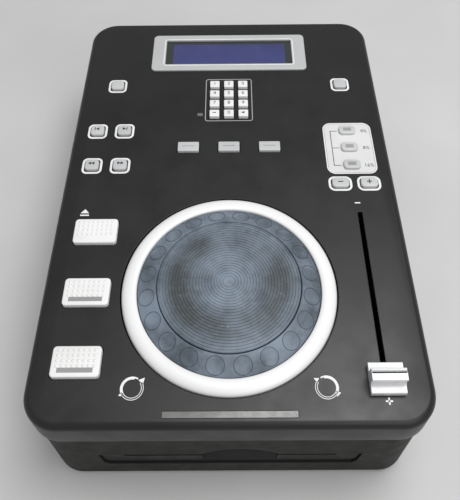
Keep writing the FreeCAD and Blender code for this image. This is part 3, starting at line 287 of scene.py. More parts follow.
def number(name, text, x, y, size, z=PANEL):
    """A plain printed number or sign."""
    bpy.ops.object.text_add(location=at(x, y, z - PRINT_HEIGHT / 3))
    piece = bpy.context.object
    piece.data.body = text
    piece.data.size = size * MM
    piece.data.align_x = "CENTER"
    piece.data.align_y = "CENTER"
    piece.data.resolution_u = 3
    bpy.ops.object.convert(target="MESH")
    piece = named(name)
    return lifted(piece)


# ---------------------------------------------------------------- finishes
def node(tree, kind, **values):
    """A shader node with its sockets and settings given by name."""
    made = tree.nodes.new(kind)
    for key, value in values.items():
        if key in made.inputs:
            made.inputs[key].default_value = value
        else:
            setattr(made, key, value)
    return made


def grain(tree, place, scale, detail=3.0, rough=0.55):
    """Soft noise at a scale."""
    made = node(tree, "ShaderNodeTexNoise", Scale=scale, Detail=detail, Roughness=rough)
    tree.links.new(place, made.inputs["Vector"])
    return made.outputs["Fac"]


def spread(tree, value, low, high, start=0.35, end=0.65):
    """A value stretched from its usual spread to a new range."""
    made = node(tree, "ShaderNodeMapRange")
    made.inputs["From Min"].default_value = start
    made.inputs["From Max"].default_value = end
    made.inputs["To Min"].default_value = low
    made.inputs["To Max"].default_value = high
    tree.links.new(value, made.inputs["Value"])
    return made.outputs["Result"]


def blend(tree, share, one, other):
    """A colour between two colours or sockets."""
    made = tree.nodes.new("ShaderNodeMix")
    made.data_type = "RGBA"
    tree.links.new(share, made.inputs["Factor"])
    for socket, colour in ((made.inputs[6], one), (made.inputs[7], other)):
        if hasattr(colour, "links"):
            tree.links.new(colour, socket)
        else:
            socket.default_value = (*colour, 1)
    return made.outputs[2]


def start_finish(name, metal=0.0, coat=0.0, coat_rough=0.1, gloss=0.5):
    material = bpy.data.materials.new(name)
    material.use_nodes = True
    tree = material.node_tree
    shader = next(item for item in tree.nodes if item.type == "BSDF_PRINCIPLED")
    shader.inputs["Metallic"].default_value = metal
    shader.inputs["Coat Weight"].default_value = coat
    shader.inputs["Coat Roughness"].default_value = coat_rough
    shader.inputs["Specular IOR Level"].default_value = gloss
    place = tree.nodes.new("ShaderNodeTexCoord").outputs["Object"]
    return material, tree, shader, place


def texture_bump(tree, shader, height, strength, distance, edge=0.0):
    """Fine relief, over an edge rounding where one is given."""
    bump = node(tree, "ShaderNodeBump", Strength=strength, Distance=distance * MM)
    tree.links.new(height, bump.inputs["Height"])
    if edge:
        rounding = node(tree, "ShaderNodeBevel", Radius=edge * MM)
        rounding.samples = 4
        tree.links.new(rounding.outputs["Normal"], bump.inputs["Normal"])
    tree.links.new(bump.outputs["Normal"], shader.inputs["Normal"])


def moulded(name, light, dark, rough, relief=0.05, edge=0.0, gloss=0.5, coat=0.0, clouds=22.0):
    """Moulded or painted surface: two close tones in soft clouds, a fine pebble and uneven gloss."""
    material, tree, shader, place = start_finish(name, coat=coat, gloss=gloss)
    cloud = grain(tree, place, clouds, 4.0)
    tree.links.new(blend(tree, spread(tree, cloud, 0, 1), dark, light), shader.inputs["Base Color"])
    patches = grain(tree, place, clouds * 5)
    tree.links.new(spread(tree, patches, rough - 0.05, rough + 0.06), shader.inputs["Roughness"])
    pebble = grain(tree, place, 900.0, 2.0)
    texture_bump(tree, shader, pebble, 0.35, relief, edge)
    return material


def brushed(name, light, dark, rough, direction=(1.0, 30.0, 30.0)):
    """Metal with fine drawn lines along one direction."""
    material, tree, shader, place = start_finish(name, metal=1.0)
    stretch = node(tree, "ShaderNodeMapping")
    stretch.inputs["Scale"].default_value = direction
    tree.links.new(place, stretch.inputs["Vector"])
    lines = grain(tree, stretch.outputs["Vector"], 90.0, 4.0)
    tree.links.new(blend(tree, spread(tree, lines, 0, 1), dark, light), shader.inputs["Base Color"])
    tree.links.new(spread(tree, lines, rough - 0.06, rough + 0.08), shader.inputs["Roughness"])
    texture_bump(tree, shader, lines, 0.15, 0.03)
    return material


def part_of(tree, place, axis):
    """One coordinate of a place."""
    split = tree.nodes.new("ShaderNodeSeparateXYZ")
    tree.links.new(place, split.inputs["Vector"])
    return split.outputs[axis]


def between(tree, value, low, high, soft=0.0003):
    """1 where a coordinate lies between two limits, in metres."""
    rise = spread(tree, value, 0, 1, low, low + soft)
    fall = spread(tree, value, 1, 0, high - soft, high)
    both = node(tree, "ShaderNodeMath", operation="MULTIPLY")
    tree.links.new(rise, both.inputs[0])
    tree.links.new(fall, both.inputs[1])
    return both.outputs[0]


def display_finish():
    """The window over the display: deep blue field with painted light, lighter towards the front and darker
    towards the back, darker margins, a faint reflection of dust.
    """
    material, tree, shader, place = start_finish("display_pane", coat=1.0, coat_rough=0.04)
    across = part_of(tree, place, "X")
    along = part_of(tree, place, "Y")
    field = node(tree, "ShaderNodeMath", operation="MULTIPLY")
    tree.links.new(between(tree, across, -0.0440, 0.0448), field.inputs[0])
    tree.links.new(between(tree, along, 0.1118, 0.1345), field.inputs[1])
    # Painted light: the blue is lighter towards the front of the window and darker towards the back.
    shade = spread(tree, along, 0, 1, 0.112, 0.135)
    blue = blend(tree, shade, (0.026, 0.034, 0.160), (0.020, 0.026, 0.120))
    cells = grain(tree, place, 60.0, 2.0)
    blue = blend(tree, spread(tree, cells, 0.0, 0.25), blue, (0.050, 0.058, 0.20))
    tree.links.new(blend(tree, field.outputs[0], (0.012, 0.018, 0.017), blue), shader.inputs["Base Color"])
    tree.links.new(spread(tree, cells, 0.12, 0.2), shader.inputs["Roughness"])
    texture_bump(tree, shader, grain(tree, place, 30.0), 0.04, 0.02)
    return material


def rubber_finish():
    """The pad's blue-grey rubber: hand-worn dark blotches, paler high spots, fine scuffs."""
    material, tree, shader, place = start_finish("worn_blue_grey_rubber", gloss=0.35)
    centre = node(tree, "ShaderNodeMapping")
    centre.inputs["Location"].default_value = (0, 0.082, 0)
    tree.links.new(place, centre.inputs["Vector"])
    local = centre.outputs["Vector"]
    cloud = grain(tree, local, 34.0, 6.0, 0.62)
    tone = blend(tree, spread(tree, cloud, 0, 1, 0.36, 0.62), (0.064, 0.080, 0.098), (0.186, 0.228, 0.282))
    length = node(tree, "ShaderNodeVectorMath", operation="LENGTH")
    flat = node(tree, "ShaderNodeVectorMath", operation="MULTIPLY")
    flat.inputs[1].default_value = (1, 1, 0)
    tree.links.new(local, flat.inputs[0])
    tree.links.new(flat.outputs["Vector"], length.inputs[0])
    radius = length.outputs["Value"]
    grime = node(tree, "ShaderNodeMath", operation="MULTIPLY")
    tree.links.new(between(tree, radius, 0.016, 0.0432, 0.010), grime.inputs[0])
    tree.links.new(spread(tree, grain(tree, local, 20.0, 5.0), 0.15, 1.0, 0.4, 0.6), grime.inputs[1])
    dirty = blend(tree, grime.outputs[0], tone, (0.050, 0.060, 0.064))
    scuff = grain(tree, local, 420.0, 4.0, 0.7)
    tree.links.new(blend(tree, spread(tree, scuff, 0, 0.4, 0.55, 0.8), dirty, (0.26, 0.30, 0.35)),
                   shader.inputs["Base Color"])
    tree.links.new(spread(tree, cloud, 0.62, 0.48), shader.inputs["Roughness"])
    texture_bump(tree, shader, scuff, 0.3, 0.06)
    return material


def cover_finish():
    """Charcoal satin moulding with a fine pebble, dust and faint rubbing."""
    material, tree, shader, place = start_finish("charcoal_cover", gloss=0.4)
    cloud = grain(tree, place, 12.0, 5.0)
    tone = blend(tree, spread(tree, cloud, 0, 1), (0.0085, 0.0087, 0.0092), (0.0115, 0.0117, 0.0122))
    dust = grain(tree, place, 1500.0, 2.0)
    tree.links.new(blend(tree, spread(tree, dust, 0, 0.35, 0.66, 0.8), tone, (0.10, 0.10, 0.10)),
                   shader.inputs["Base Color"])
    tree.links.new(spread(tree, grain(tree, place, 45.0, 4.0), 0.34, 0.44), shader.inputs["Roughness"])
    texture_bump(tree, shader, grain(tree, place, 1300.0, 2.0), 0.3, 0.05, edge=0.8)
    return material


def light_bar_finish():
    """Frosted light pipe with painted light: a little brighter towards its right-hand end, the side the lamps
    stand on.
    """
    material, tree, shader, place = start_finish("frosted_light_pipe", coat=0.4)
    # Painted light: the grey runs lighter towards the right-hand end, where the lamps stand.
    painted_light_run = spread(tree, part_of(tree, place, "X"), 0, 1, -0.035, 0.036)
    speck = grain(tree, place, 240.0, 3.0)
    tone = blend(tree, painted_light_run, (0.135, 0.133, 0.128), (0.170, 0.167, 0.161))
    tree.links.new(blend(tree, spread(tree, speck, 0, 0.4), tone, (0.08, 0.08, 0.08)),
                   shader.inputs["Base Color"])
    tree.links.new(spread(tree, speck, 0.3, 0.5), shader.inputs["Roughness"])
    texture_bump(tree, shader, speck, 0.2, 0.05)
    return material


charcoal = cover_finish()
case_grey = moulded("grey_case_paint", (0.019, 0.020, 0.017), (0.015, 0.016, 0.0135), 0.55, edge=0.7,
                    gloss=0.14)
black_satin = moulded("black_satin_plastic", (0.008, 0.008, 0.0085), (0.005, 0.005, 0.0055), 0.5, edge=0.3,
                      gloss=0.25)
slot_black = moulded("black_fader_track", (0.004, 0.004, 0.004), (0.002, 0.002, 0.002), 0.8, gloss=0.05)
rubber_black = moulded("black_foot_rubber", (0.020, 0.020, 0.020), (0.012, 0.012, 0.012), 0.75, relief=0.12)
white_key = moulded("white_key_plastic", (0.80, 0.80, 0.80), (0.72, 0.72, 0.715), 0.42, relief=0.02, edge=0.2)
grey_key = moulded("grey_key_plastic", (0.52, 0.525, 0.53), (0.46, 0.465, 0.47), 0.4, relief=0.02, edge=0.2)
mark_dark = moulded("dark_key_print", (0.040, 0.040, 0.043), (0.028, 0.028, 0.030), 0.5, relief=0.01)
mark_grey = moulded("grey_key_print", (0.30, 0.30, 0.30), (0.25, 0.25, 0.25), 0.5, relief=0.01)
print_white = moulded("white_panel_print", (0.80, 0.80, 0.80), (0.70, 0.70, 0.70), 0.55, relief=0.01,
                      clouds=120.0)
print_grey = moulded("light_grey_panel_print", (0.66, 0.66, 0.66), (0.60, 0.60, 0.60), 0.5, relief=0.01)
print_edge = moulded("silver_panel_print", (0.42, 0.42, 0.42), (0.36, 0.36, 0.36), 0.5, relief=0.01)
frame_silver = moulded("frame_silver_lacquer", (0.47, 0.475, 0.48), (0.43, 0.435, 0.44), 0.35, relief=0.01,
                       edge=0.2)
silver = moulded("silver_lacquer", (0.74, 0.745, 0.755), (0.66, 0.665, 0.675), 0.3, relief=0.01, coat=0.3,
                 edge=0.2)
jog_silver = moulded("jog_silver_lacquer", (0.80, 0.80, 0.805), (0.77, 0.77, 0.775), 0.32, relief=0.004,
                     coat=0.2, clouds=9.0)
zinc = brushed("bright_zinc", (0.60, 0.61, 0.63), (0.45, 0.46, 0.48), 0.32)
sheet_steel = brushed("pressed_sheet", (0.46, 0.47, 0.49), (0.36, 0.37, 0.39), 0.42)
bronze = brushed("turned_bush", (0.62, 0.47, 0.20), (0.50, 0.37, 0.15), 0.3, (30.0, 30.0, 1.0))
board = moulded("board_green", (0.03, 0.17, 0.07), (0.02, 0.12, 0.05), 0.4, clouds=80.0)
pane = display_finish()
rubber_pad = rubber_finish()
# Painted shade: the dark blue-grey of the thin rings laid round the dimples' rims, where the crease shades.
dimple_rim_shade = moulded("dimple_rim_painted_shade", (0.035, 0.050, 0.075), (0.020, 0.030, 0.045), 0.6, clouds=60.0)
light_pipe = light_bar_finish()

SLOT_FINISHES = {
    "charcoal_plastic": charcoal, "grey_case_paint": case_grey, "black_rubber": rubber_black,
    "bright_steel": zinc, "drive_steel": sheet_steel, "silver_plastic": silver, "clear_window": pane,
    "display_blue": pane, "light_pipe": light_pipe, "jog_silver": jog_silver, "blue_grey_rubber": rubber_pad,
    "bush_brass": bronze, "black_plastic": black_satin, "board_green": board, "white_key_plastic": white_key,
    "grey_key_plastic": grey_key,
}
slot_of = {entry["node"]: entry["material_slot"] for entry in frame["record"]["subparts"]}
for label, solid in shown.items():
    solid.data.materials.clear()
    solid.data.materials.append(SLOT_FINISHES[slot_of[label]])
for label in ("fader_body", "fader_carriage"):
    shown[label].data.materials[0] = slot_black


def dress(piece, finish, body, replaces=()):
    """Gives a piece its finish, the body it moves with, and the solids it stands for."""
    piece.data.materials.clear()
    piece.data.materials.append(finish)
    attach(piece, body)
    if replaces:
        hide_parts(*replaces)


# ---------------------------------------------------------------- cover
def key_hole(x, y, form, corner):
    """The opening round a key cap."""
    width, depth = form[:2]
    return x, y, width + KEY_CLEARANCE, depth + KEY_CLEARANCE, corner


# Every opening through the panel: x, y, width, depth, corner radius
PANEL_HOLES = (
    [key_hole(x, y, SMALL_CAP, 2.9) for x, y in SMALL_KEYS.values()]
    + [key_hole(KEYPAD[0] + column * KEYPAD_PITCH[0], KEYPAD[1] + row * KEYPAD_PITCH[1], KEYPAD_CAP, 1.0)
       for column in (-1, 0, 1) for row in (-1.5, -0.5, 0.5, 1.5)]
    + [key_hole(x, LOOP_ROW, LOOP_CAP, 1.3) for x in LOOP_KEYS.values()]
    + [key_hole(RANGE_X, y, RANGE_CAP, 3.2) for _, _, y in reversed(RANGE_KEYS)]
    + [key_hole(x, BEND_ROW, BEND_CAP, 3.2) for x in BEND_KEYS.values()]
    + [key_hole(LARGE_X, y, LARGE_CAP, 2.7) for y in LARGE_KEYS.values()]
    + [(*FADER_SLOT, 3.0, 116.2, 0.4), (*LIGHT_BAR, 71.7, 3.5, 0.3), (*MEMORY_LIGHT, 4.1, 3.0, 0.3),
       (*DISPLAY, 101.0, 29.2, 2.0)]
)
COVER_BOTTOM = 72.3
COVER_CORNER = 20.0
COVER_ROLL = 3.9
SKIRT_WALL = 1.7
SKIRT_DEPTH = 13.2
SHOULDER = (3.3, 5.1)
WELL_RADIUS = 64.7
BOSS_X, BOSS_Y, BOSS_SIZE = 98.0, 148.0, 10
FLOOR_TOP = 5.7
PANEL_WALL = 3
HOLE_BOTTOM, HOLE_HEIGHT = PANEL - 5.6, 8


def make_cover():
    """The moulded cover: full round corners, a soft roll from the top into the side, and all its openings."""
    low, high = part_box("top_cover")
    width, depth = (high.x - low.x) / MM, (high.y - low.y) / MM
    shell = block("moulded_cover", 0, 0, COVER_BOTTOM, width, depth, PANEL - COVER_BOTTOM, COVER_CORNER,
                  steps=14)
    editing(shell, True)
    pick(shell, "EDGE", along_top(PANEL))
    bpy.ops.mesh.bevel(offset=COVER_ROLL * MM, segments=7, affect="EDGES", profile=0.42)
    pick(shell, "FACE", lambda face: face.normal.z < -0.99)
    for wall, rise in ((SKIRT_WALL, SKIRT_DEPTH), SHOULDER):
        bpy.ops.mesh.inset(thickness=wall * MM)
        bpy.ops.transform.translate(value=at(0, 0, rise))
    editing(shell, False)
    cutters = [block("hole", x, y, HOLE_BOTTOM, wide, deep, HOLE_HEIGHT, corner)
               for x, y, wide, deep, corner in PANEL_HOLES]
    bpy.ops.mesh.primitive_cylinder_add(vertices=128, radius=WELL_RADIUS * MM, depth=HOLE_HEIGHT * MM,
                                        location=at(*JOG, HOLE_BOTTOM + HOLE_HEIGHT / 2))
    cutters.append(named("well_hole"))
    tool = join("cover_holes", cutters)
    apply_modifier(shell, "BOOLEAN", operation="DIFFERENCE", object=tool, solver="EXACT")
    bpy.data.objects.remove(tool)
    well = turned("jog_well", *JOG, [
        (4.1, -8.5), (66.6, -8.5), (66.6, -2.9), (WELL_RADIUS, -2.9), (WELL_RADIUS, -6.5), (6.2, -6.5),
        (4.1, -6.5), (4.1, -8.5)], steps=128)
    boss_height = PANEL - PANEL_WALL - FLOOR_TOP
    posts = [block("boss", sx * BOSS_X, sy * BOSS_Y, FLOOR_TOP, BOSS_SIZE, BOSS_SIZE, boss_height, 1.0)
             for sx in (-1, 1) for sy in (-1, 1)]
    cover = join("moulded_cover", [shell, well, *posts])
    tidy_mesh(cover, 32)
    dress(cover, charcoal, "chassis", ["top_cover"])


# ---------------------------------------------------------------- jog wheel
DIMPLES = 20
GROOVE_PITCH = 1.78


def make_jog():
    """The lacquered rim and the rubber pad with its dimples and fine grooves."""
    rim = turned("jog_rim", *JOG, [
        (54.75, -0.5), (54.75, 1.55), (55.0, 2.0), (55.6, 2.35), (57.0, 2.62), (58.8, 2.68), (60.4, 2.45),
        (61.8, 1.85), (62.9, 1.05), (63.6, 0.1), (63.9, -0.9), (64.0, -2.0), (64.0, -5.3), (54.75, -5.3),
        (54.75, -0.5)], steps=160)
    dress(rim, jog_silver, "jog", ["jog_wheel"])
    band = turned("pad_band", *JOG, [
        (42.6, -0.4), (54.3, -0.4), (54.35, 0.7), (54.1, 1.15), (53.5, 1.5), (49.0, 3.55), (44.2, 5.75),
        (43.3, 6.0), (42.9, 5.6), (42.6, 4.6), (42.6, -0.4)], steps=160)
    slope = math.atan2(2.05, 4.5)
    dimple, hollow = 5.1, 0.75
    ball = (dimple * dimple + hollow * hollow) / (2 * hollow)
    normal = Vector((math.sin(slope), 0, math.cos(slope)))
    spot = Vector((48.85, 0, 3.62))
    centre = spot + normal * (ball - hollow)
    cutters, rims = [], []
    for place in range(DIMPLES):
        turn = math.radians(360 / DIMPLES * place + 180 / DIMPLES)
        x, y = JOG[0] + centre.x * math.cos(turn), JOG[1] + centre.x * math.sin(turn)
        bpy.ops.mesh.primitive_uv_sphere_add(segments=48, ring_count=24, radius=ball * MM,
                                             location=at(x, y, PANEL + centre.z), rotation=(0, slope, turn))
        cutters.append(named("dimple_cutter"))
        # A thin dark ring round each dimple's rim: painted shade in the crease.
        lip = spot + normal * 0.02
        x, y = JOG[0] + lip.x * math.cos(turn), JOG[1] + lip.x * math.sin(turn)
        bpy.ops.mesh.primitive_torus_add(major_segments=40, minor_segments=6,
                                         major_radius=(dimple + 0.05) * MM, minor_radius=0.13 * MM,
                                         location=at(x, y, PANEL + lip.z), rotation=(0, slope, turn))
        rims.append(named("dimple_rim_shade_line"))
    for cutter in cutters:
        apply_modifier(band, "BOOLEAN", operation="DIFFERENCE", object=cutter, solver="EXACT")
        bpy.data.objects.remove(cutter)
    outline = [(42.3, 4.6), (42.3, 5.9), (41.9, 6.35)]
    radius = 41.2
    while radius > 3.0:
        height = 8.0 - 1.5 * (radius / 42.3) ** 2
        outline += [(radius, height), (radius - 0.12, height - 0.32), (radius - 0.42, height - 0.32),
                    (radius - 0.54, height + 0.02)]
        radius -= GROOVE_PITCH
    outline += [(1.2, 8.0), (1.05, 7.75), (0.75, 7.75), (0.6, 8.0), (0.0, 8.0)]
    top = turned("pad_top", *JOG, outline, steps=128)
    # The dark rim rings carry painted shade, moving with the jog.
    dress(join("dimple_rim_shade_lines", rims), dimple_rim_shade, "jog")
    pad = join("jog_rubber_pad", [band, top])
    bpy.ops.object.shade_smooth_by_angle(angle=math.radians(30))
    dress(pad, rubber_pad, "jog", ["jog_pad"])


# ---------------------------------------------------------------- keys
def cap(name, x, y, form):
    """One smooth key cap over the stem of its solid."""
    width, depth, height, corner, edge = form
    piece = block(name, x, y, PANEL - CAP_DEPTH_BELOW, width, depth, height + CAP_DEPTH_BELOW, corner, edge)
    return tidy_mesh(piece, 40)


def mark_key(body, marks, finish):
    """Joins the marks on one key and makes them move with it."""
    dress(join(body + "_mark", marks), finish, body)


def make_small_keys():
    """The six round-cornered keys with their thick printed rings."""
    master = cap("key_master", 0, 0, SMALL_CAP)
    ring = flat_ring("ring_master", 0, 0, 13.7, 13.5, 3.6, 1.5)
    rings = []
    for name, (x, y) in SMALL_KEYS.items():
        dress(copy_of(master, name + "_cap", x, y), grey_key, name, [name])
        rings.append(copy_of(ring, "ring", x, y))
    bpy.data.objects.remove(master)
    bpy.data.objects.remove(ring)
    top = PANEL + SMALL_CAP[2]
    for name, turn, side in (("skip_back_key", 180, -1), ("skip_forward_key", 0, 1)):
        x, y = SMALL_KEYS[name]
        mark_key(name, [flat_arrow("a", x - side * 0.4, y + 0.9, 2.5, 2.8, turn, top),
                        flat_patch("b", x + side * 1.75, y + 0.9, 0.6, 2.8, 0, top)], mark_dark)
    for name, turn, side in (("search_back_key", 180, -1), ("search_forward_key", 0, 1)):
        x, y = SMALL_KEYS[name]
        mark_key(name, [flat_arrow("a", x - side * 1.0, y + 0.9, 2.3, 2.6, turn, top),
                        flat_arrow("b", x + side * 1.2, y + 0.9, 2.3, 2.6, turn, top)], mark_dark)
    dress(join("small_key_rings", rings), print_white, "chassis")


def make_keypad():
    """Twelve small keys in a thin printed frame, numbered where the real ones have numbers."""
    names = ("key_1", "key_2", "key_3", "key_4", "key_5", "key_6", "key_7", "key_8", "key_9",
             "key_memory", "key_0", "key_recall")
    master = cap("keypad_master", 0, 0, KEYPAD_CAP)
    top = PANEL + KEYPAD_CAP[2]
    for index, name in enumerate(names):
        x = KEYPAD[0] + (index % 3 - 1) * KEYPAD_PITCH[0]
        y = KEYPAD[1] + (1.5 - index // 3) * KEYPAD_PITCH[1]
        dress(copy_of(master, name + "_cap", x, y), white_key, name, [name])
        if name[-1].isdigit():
            marks = [number("digit", name[-1], x, y + 0.3, 4.4, top)]
        elif name == "key_memory":
            marks = [flat_patch("bar", x, y + 0.3, 2.6, 0.7, 0, top)]
        else:
            marks = [flat_arrow("arrow", x, y + 0.3, 2.4, 2.4, 180, top)]
        mark_key(name, marks, mark_dark)
    bpy.data.objects.remove(master)
    outline = flat_ring("keypad_outline", KEYPAD[0], KEYPAD[1] + 0.6, 34.8, 43.1, 2.0, 0.55)
    dress(outline, print_edge, "chassis")


def make_loop_keys():
    """The three low white keys in a row, each with a grey line on it."""
    for name, x in LOOP_KEYS.items():
        dress(cap(name + "_cap", x, LOOP_ROW, LOOP_CAP), grey_key, name, [name])
        mark_key(name, [flat_patch("line", x, LOOP_ROW + 0.3, 8.5, 0.55, 0, PANEL + LOOP_CAP[2])], mark_grey)


def make_pitch_keys():
    """The grey panel of three range keys, and the two bend keys below it."""
    field_y, middle = 25.65, RANGE_KEYS[1][2]
    dress(flat_patch("pitch_field", RANGE_X, field_y, 32.6, 44.3, 5.2), print_grey, "chassis")
    dress(flat_ring("pitch_field_rim", RANGE_X, field_y, 34.2, 45.9, 5.8, 1.0), print_white, "chassis")
    on_field = PANEL + 0.03
    marks = [flat_patch("spine", 72.2, middle, 0.5, 31.0, 0, on_field)]
    marks += [flat_patch("branch", 74.6, y, 5.0, 0.5, 0, on_field) for _, _, y in RANGE_KEYS]
    for name, text, y in RANGE_KEYS:
        dress(cap(name + "_cap", RANGE_X, y, RANGE_CAP), grey_key, name, [name])
        square = flat_patch("square", RANGE_X, y + 0.2, 5.6, 3.0, 0.3, PANEL + RANGE_CAP[2])
        mark_key(name, [square], mark_grey)
        marks.append(number("rate", text, 96.0, y, 4.0, on_field))
    dress(join("pitch_field_marks", marks), mark_dark, "chassis")
    rings = []
    top = PANEL + BEND_CAP[2]
    for name, x in BEND_KEYS.items():
        dress(cap(name + "_cap", x, BEND_ROW, BEND_CAP), grey_key, name, [name])
        rings.append(flat_ring("ring", x, BEND_ROW, 15.65, 11.9, 4.2, 1.5))
        signs = [flat_patch("dash", x, BEND_ROW + 0.3, 3.4, 0.8, 0, top)]
        if name == "bend_up_key":
            signs.append(flat_patch("post", x, BEND_ROW + 0.3, 0.8, 3.4, 0, top + 0.01))
        mark_key(name, signs, mark_dark)
    dress(join("bend_key_rings", rings), print_white, "chassis")


def make_large_keys():
    """Stop, cue and play: off-white caps with four rows of small grip domes, two with a grey bar."""
    bpy.ops.mesh.primitive_uv_sphere_add(segments=14, ring_count=8, radius=1, location=(0, 0, 0))
    dome = named("dome_master")
    dome.scale = at(0.95, 0.95, 0.55)
    settle(dome)
    editing(dome, True)
    pick(dome, "VERT", lambda vertex: vertex.co.z < -1e-6)
    bpy.ops.mesh.delete(type="VERT")
    editing(dome, False)
    apply_modifier(dome, "ARRAY", count=8, use_relative_offset=False, use_constant_offset=True,
                   constant_offset_displace=at(2.95, 0, 0))
    apply_modifier(dome, "ARRAY", count=4, use_relative_offset=False, use_constant_offset=True,
                   constant_offset_displace=at(0, -3.0, 0))
    bpy.ops.object.shade_smooth()
    for name, y in LARGE_KEYS.items():
        smooth = cap(name + "_cap", LARGE_X, y, LARGE_CAP)
        domes = copy_of(dome, name + "_domes", LARGE_X - 10.3, y + 6.3, PANEL + LARGE_CAP[2] - 0.05)
        dress(join(name + "_cap", [smooth, domes]), white_key, name, [name])
        if name != "stop_key":
            bar = flat_patch("bar", LARGE_X, y - 5.0, 19.8, 2.8, 0.15, PANEL + LARGE_CAP[2])
            mark_key(name, [bar], mark_grey)
    bpy.data.objects.remove(dome)


# ---------------------------------------------------------------- printed marks on the panel
def turn_arrow(name, x, side):
    """The round search mark beside the jog: a thick arc that thins to a double line, with an arrow head."""
    y = TURN_ARROW_Y
    if side < 0:
        thick = flat_arc("thick", x, y, 6.4, 1.5, 80, 205)
        mid = flat_arc("mid", x, y, 6.35, 0.8, 60, 80)
        head = flat_arrow("head", x + 5.2, y + 4.2, 3.2, 3.4, 50)
        tail = flat_arrow("tail", x - 5.6, y - 3.3, 2.2, 2.4, 200)
        outer = flat_arc("outer", x, y, 6.35, 0.36, 205, 395)
        inner = flat_arc("inner", x, y, 5.3, 0.36, 205, 395)
    else:
        thick = flat_arc("thick", x, y, 6.4, 1.5, -25, 100)
        mid = flat_arc("mid", x, y, 6.35, 0.8, 100, 120)
        head = flat_arrow("head", x + 5.6, y - 3.3, 2.8, 3.0, 250)
        tail = flat_arrow("tail", x - 5.2, y + 4.2, 2.6, 2.8, 150)
        outer = flat_arc("outer", x, y, 6.35, 0.36, 145, 335)
        inner = flat_arc("inner", x, y, 5.3, 0.36, 145, 335)
    return join(name, [thick, mid, head, tail, outer, inner])


def make_panel_marks():
    """Plain signs only: the eject sign, the fader's minus and plus, the round arrows."""
    eject = join("eject_sign", [flat_arrow("triangle", -93.4, -26.8, 3.2, 5.6, 90),
                                flat_patch("bar", -93.4, -29.4, 5.7, 1.0)])
    minus = flat_patch("fader_minus", 84.0, -21.2, 3.6, 0.9)
    plus = join("fader_plus", [flat_patch("dash", 84.7, -148.6, 3.8, 0.9),
                               flat_patch("post", 84.7, -148.6, 0.9, 3.8)])
    for mark in (eject, minus, plus, turn_arrow("search_back_arrow", -TURN_ARROW_X, -1),
                 turn_arrow("search_forward_arrow", TURN_ARROW_X, 1)):
        dress(mark, print_white, "chassis")


# ---------------------------------------------------------------- display
def make_display():
    """The silver frame round the display, softly rounded outside, and the bright line round its window."""
    piece = block("display_frame", *DISPLAY, PANEL - 0.02, 120.7, 40.6, 1.42, 3.6, 0.6, steps=8)
    window = block("window_cutter", *DISPLAY, PANEL - 2, 99.5, 27.7, 6)
    apply_modifier(piece, "BOOLEAN", operation="DIFFERENCE", object=window, solver="EXACT")
    bpy.data.objects.remove(window)
    tidy_mesh(piece)
    dress(piece, frame_silver, "chassis", ["display_bezel"])
    rim = flat_ring("display_frame_rim", *DISPLAY, 102.6, 30.6, 2.6, 0.7, PANEL + 1.4)
    dress(rim, print_white, "chassis")


# ---------------------------------------------------------------- fader
def make_fader():
    """The dark line across the ridge of the silver fader cap."""
    low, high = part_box("fader_cap")
    top = high.z / MM
    x, y = (low.x + high.x) / 2 / MM, (low.y + high.y) / 2 / MM
    line = flat_patch("fader_cap_line", x, y, (high.x - low.x) / MM - 0.4, 0.9, 0, top)
    dress(line, black_satin, "fader")


# ---------------------------------------------------------------- rear
def make_jacks():
    """Metal shells and coloured insulators on the sockets in the rear bay."""
    sleeve_end, jack_height = 158.175, 24.67
    shells, cores = [], []
    for x in (-65.0, -45.0, -25.0):
        shell = turned("shell", x, 0, [(2.9, 0), (4.12, 0), (4.12, 0.45), (3.9, 0.6), (3.1, 0.6), (2.9, 0.45),
                                       (2.9, 0)], steps=40, base=0)
        core = turned("core", x, 0, [(1.3, 0.05), (2.9, 0.05), (2.9, 0.3), (1.3, 0.3), (1.3, 0.05)],
                      steps=32, base=0)
        for piece, group in ((shell, shells), (core, cores)):
            piece.rotation_euler = (math.radians(-90), 0, 0)
            piece.location = at(0, sleeve_end, jack_height)
            settle(piece)
            group.append(piece)
    dress(join("jack_shells", shells), zinc, "chassis")
    dress(join("jack_insulators", cores), white_key, "chassis")


make_cover()
make_jog()
make_small_keys()
make_keypad()
make_loop_keys()
make_pitch_keys()
make_large_keys()
make_panel_marks()
make_display()
make_fader()
make_jacks()


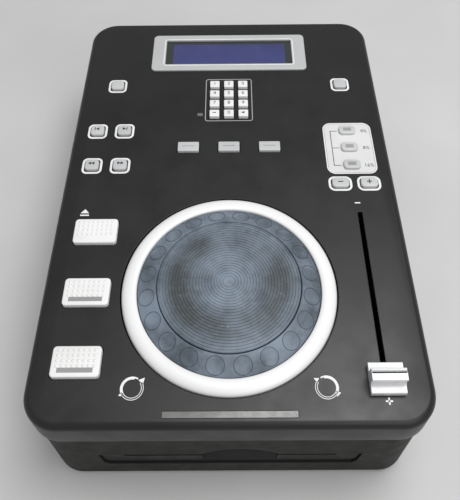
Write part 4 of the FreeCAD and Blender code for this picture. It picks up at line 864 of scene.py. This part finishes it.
# ---------------------------------------------------------------- floor, light and camera
def make_floor():
    bpy.ops.mesh.primitive_plane_add(size=12, location=(0, 0, 0))
    floor = named("floor")
    material, tree, shader, place = start_finish("pale_floor", gloss=0.2)
    speck = grain(tree, place, 6.0, 3.0)
    tree.links.new(blend(tree, spread(tree, speck, 0, 1), (0.56, 0.56, 0.56), (0.60, 0.60, 0.60)),
                   shader.inputs["Base Color"])
    shader.inputs["Roughness"].default_value = 0.8
    floor.data.materials.append(material)


def make_light(name, place, aim, size, power):
    bpy.ops.object.light_add(type="AREA", location=place)
    lamp = bpy.context.object
    lamp.name = name
    lamp.data.shape = "DISK"
    lamp.data.size = size
    lamp.data.energy = power
    lamp.rotation_mode = "QUATERNION"
    lamp.rotation_quaternion = (Vector(aim) - Vector(place)).to_track_quat("-Z", "Y")


def make_camera():
    """The camera of the reference view: its turn in radians, its place, and its focal length in pixels."""
    pitch, yaw, roll = 0.86685, -0.00776, -0.01377
    place, focal, picture_height, sensor = (3.206, -269.859, 450.878), 662.549, 500, 36.0
    ahead = Vector((math.sin(yaw) * math.cos(pitch), math.cos(yaw) * math.cos(pitch), -math.sin(pitch)))
    level = Vector((math.cos(yaw), -math.sin(yaw), 0))
    lift = level.cross(ahead)
    right = level * math.cos(roll) + lift * math.sin(roll)
    up = lift * math.cos(roll) - level * math.sin(roll)
    data = bpy.data.cameras.new("camera")
    camera = bpy.data.objects.new("camera", data)
    bpy.context.scene.collection.objects.link(camera)
    turn = Matrix((right, up, -ahead)).transposed()
    camera.matrix_world = Matrix.Translation(at(*place)) @ turn.to_4x4()
    data.sensor_width = sensor
    data.lens = focal / picture_height * sensor
    data.shift_y = -110 / picture_height
    data.clip_start = 0.01
    data.clip_end = 50
    bpy.context.scene.camera = camera


make_floor()
make_light("soft_key", (0.30, 0.05, 1.3), (0.02, -0.08, 0.05), 0.8, 11.5)
make_light("soft_front", (0.7, -1.1, 1.2), (0, 0, 0.05), 1.2, 7.0)
world = bpy.data.worlds.new("pale_room") if bpy.context.scene.world is None else bpy.context.scene.world
bpy.context.scene.world = world
world.use_nodes = True
backdrop = world.node_tree.nodes["Background"]
backdrop.inputs["Color"].default_value = (1, 1, 1, 1)
backdrop.inputs["Strength"].default_value = 0.42
make_camera()
bpy.context.scene.view_settings.view_transform = "Standard"
bpy.ops.object.select_all(action="DESELECT")
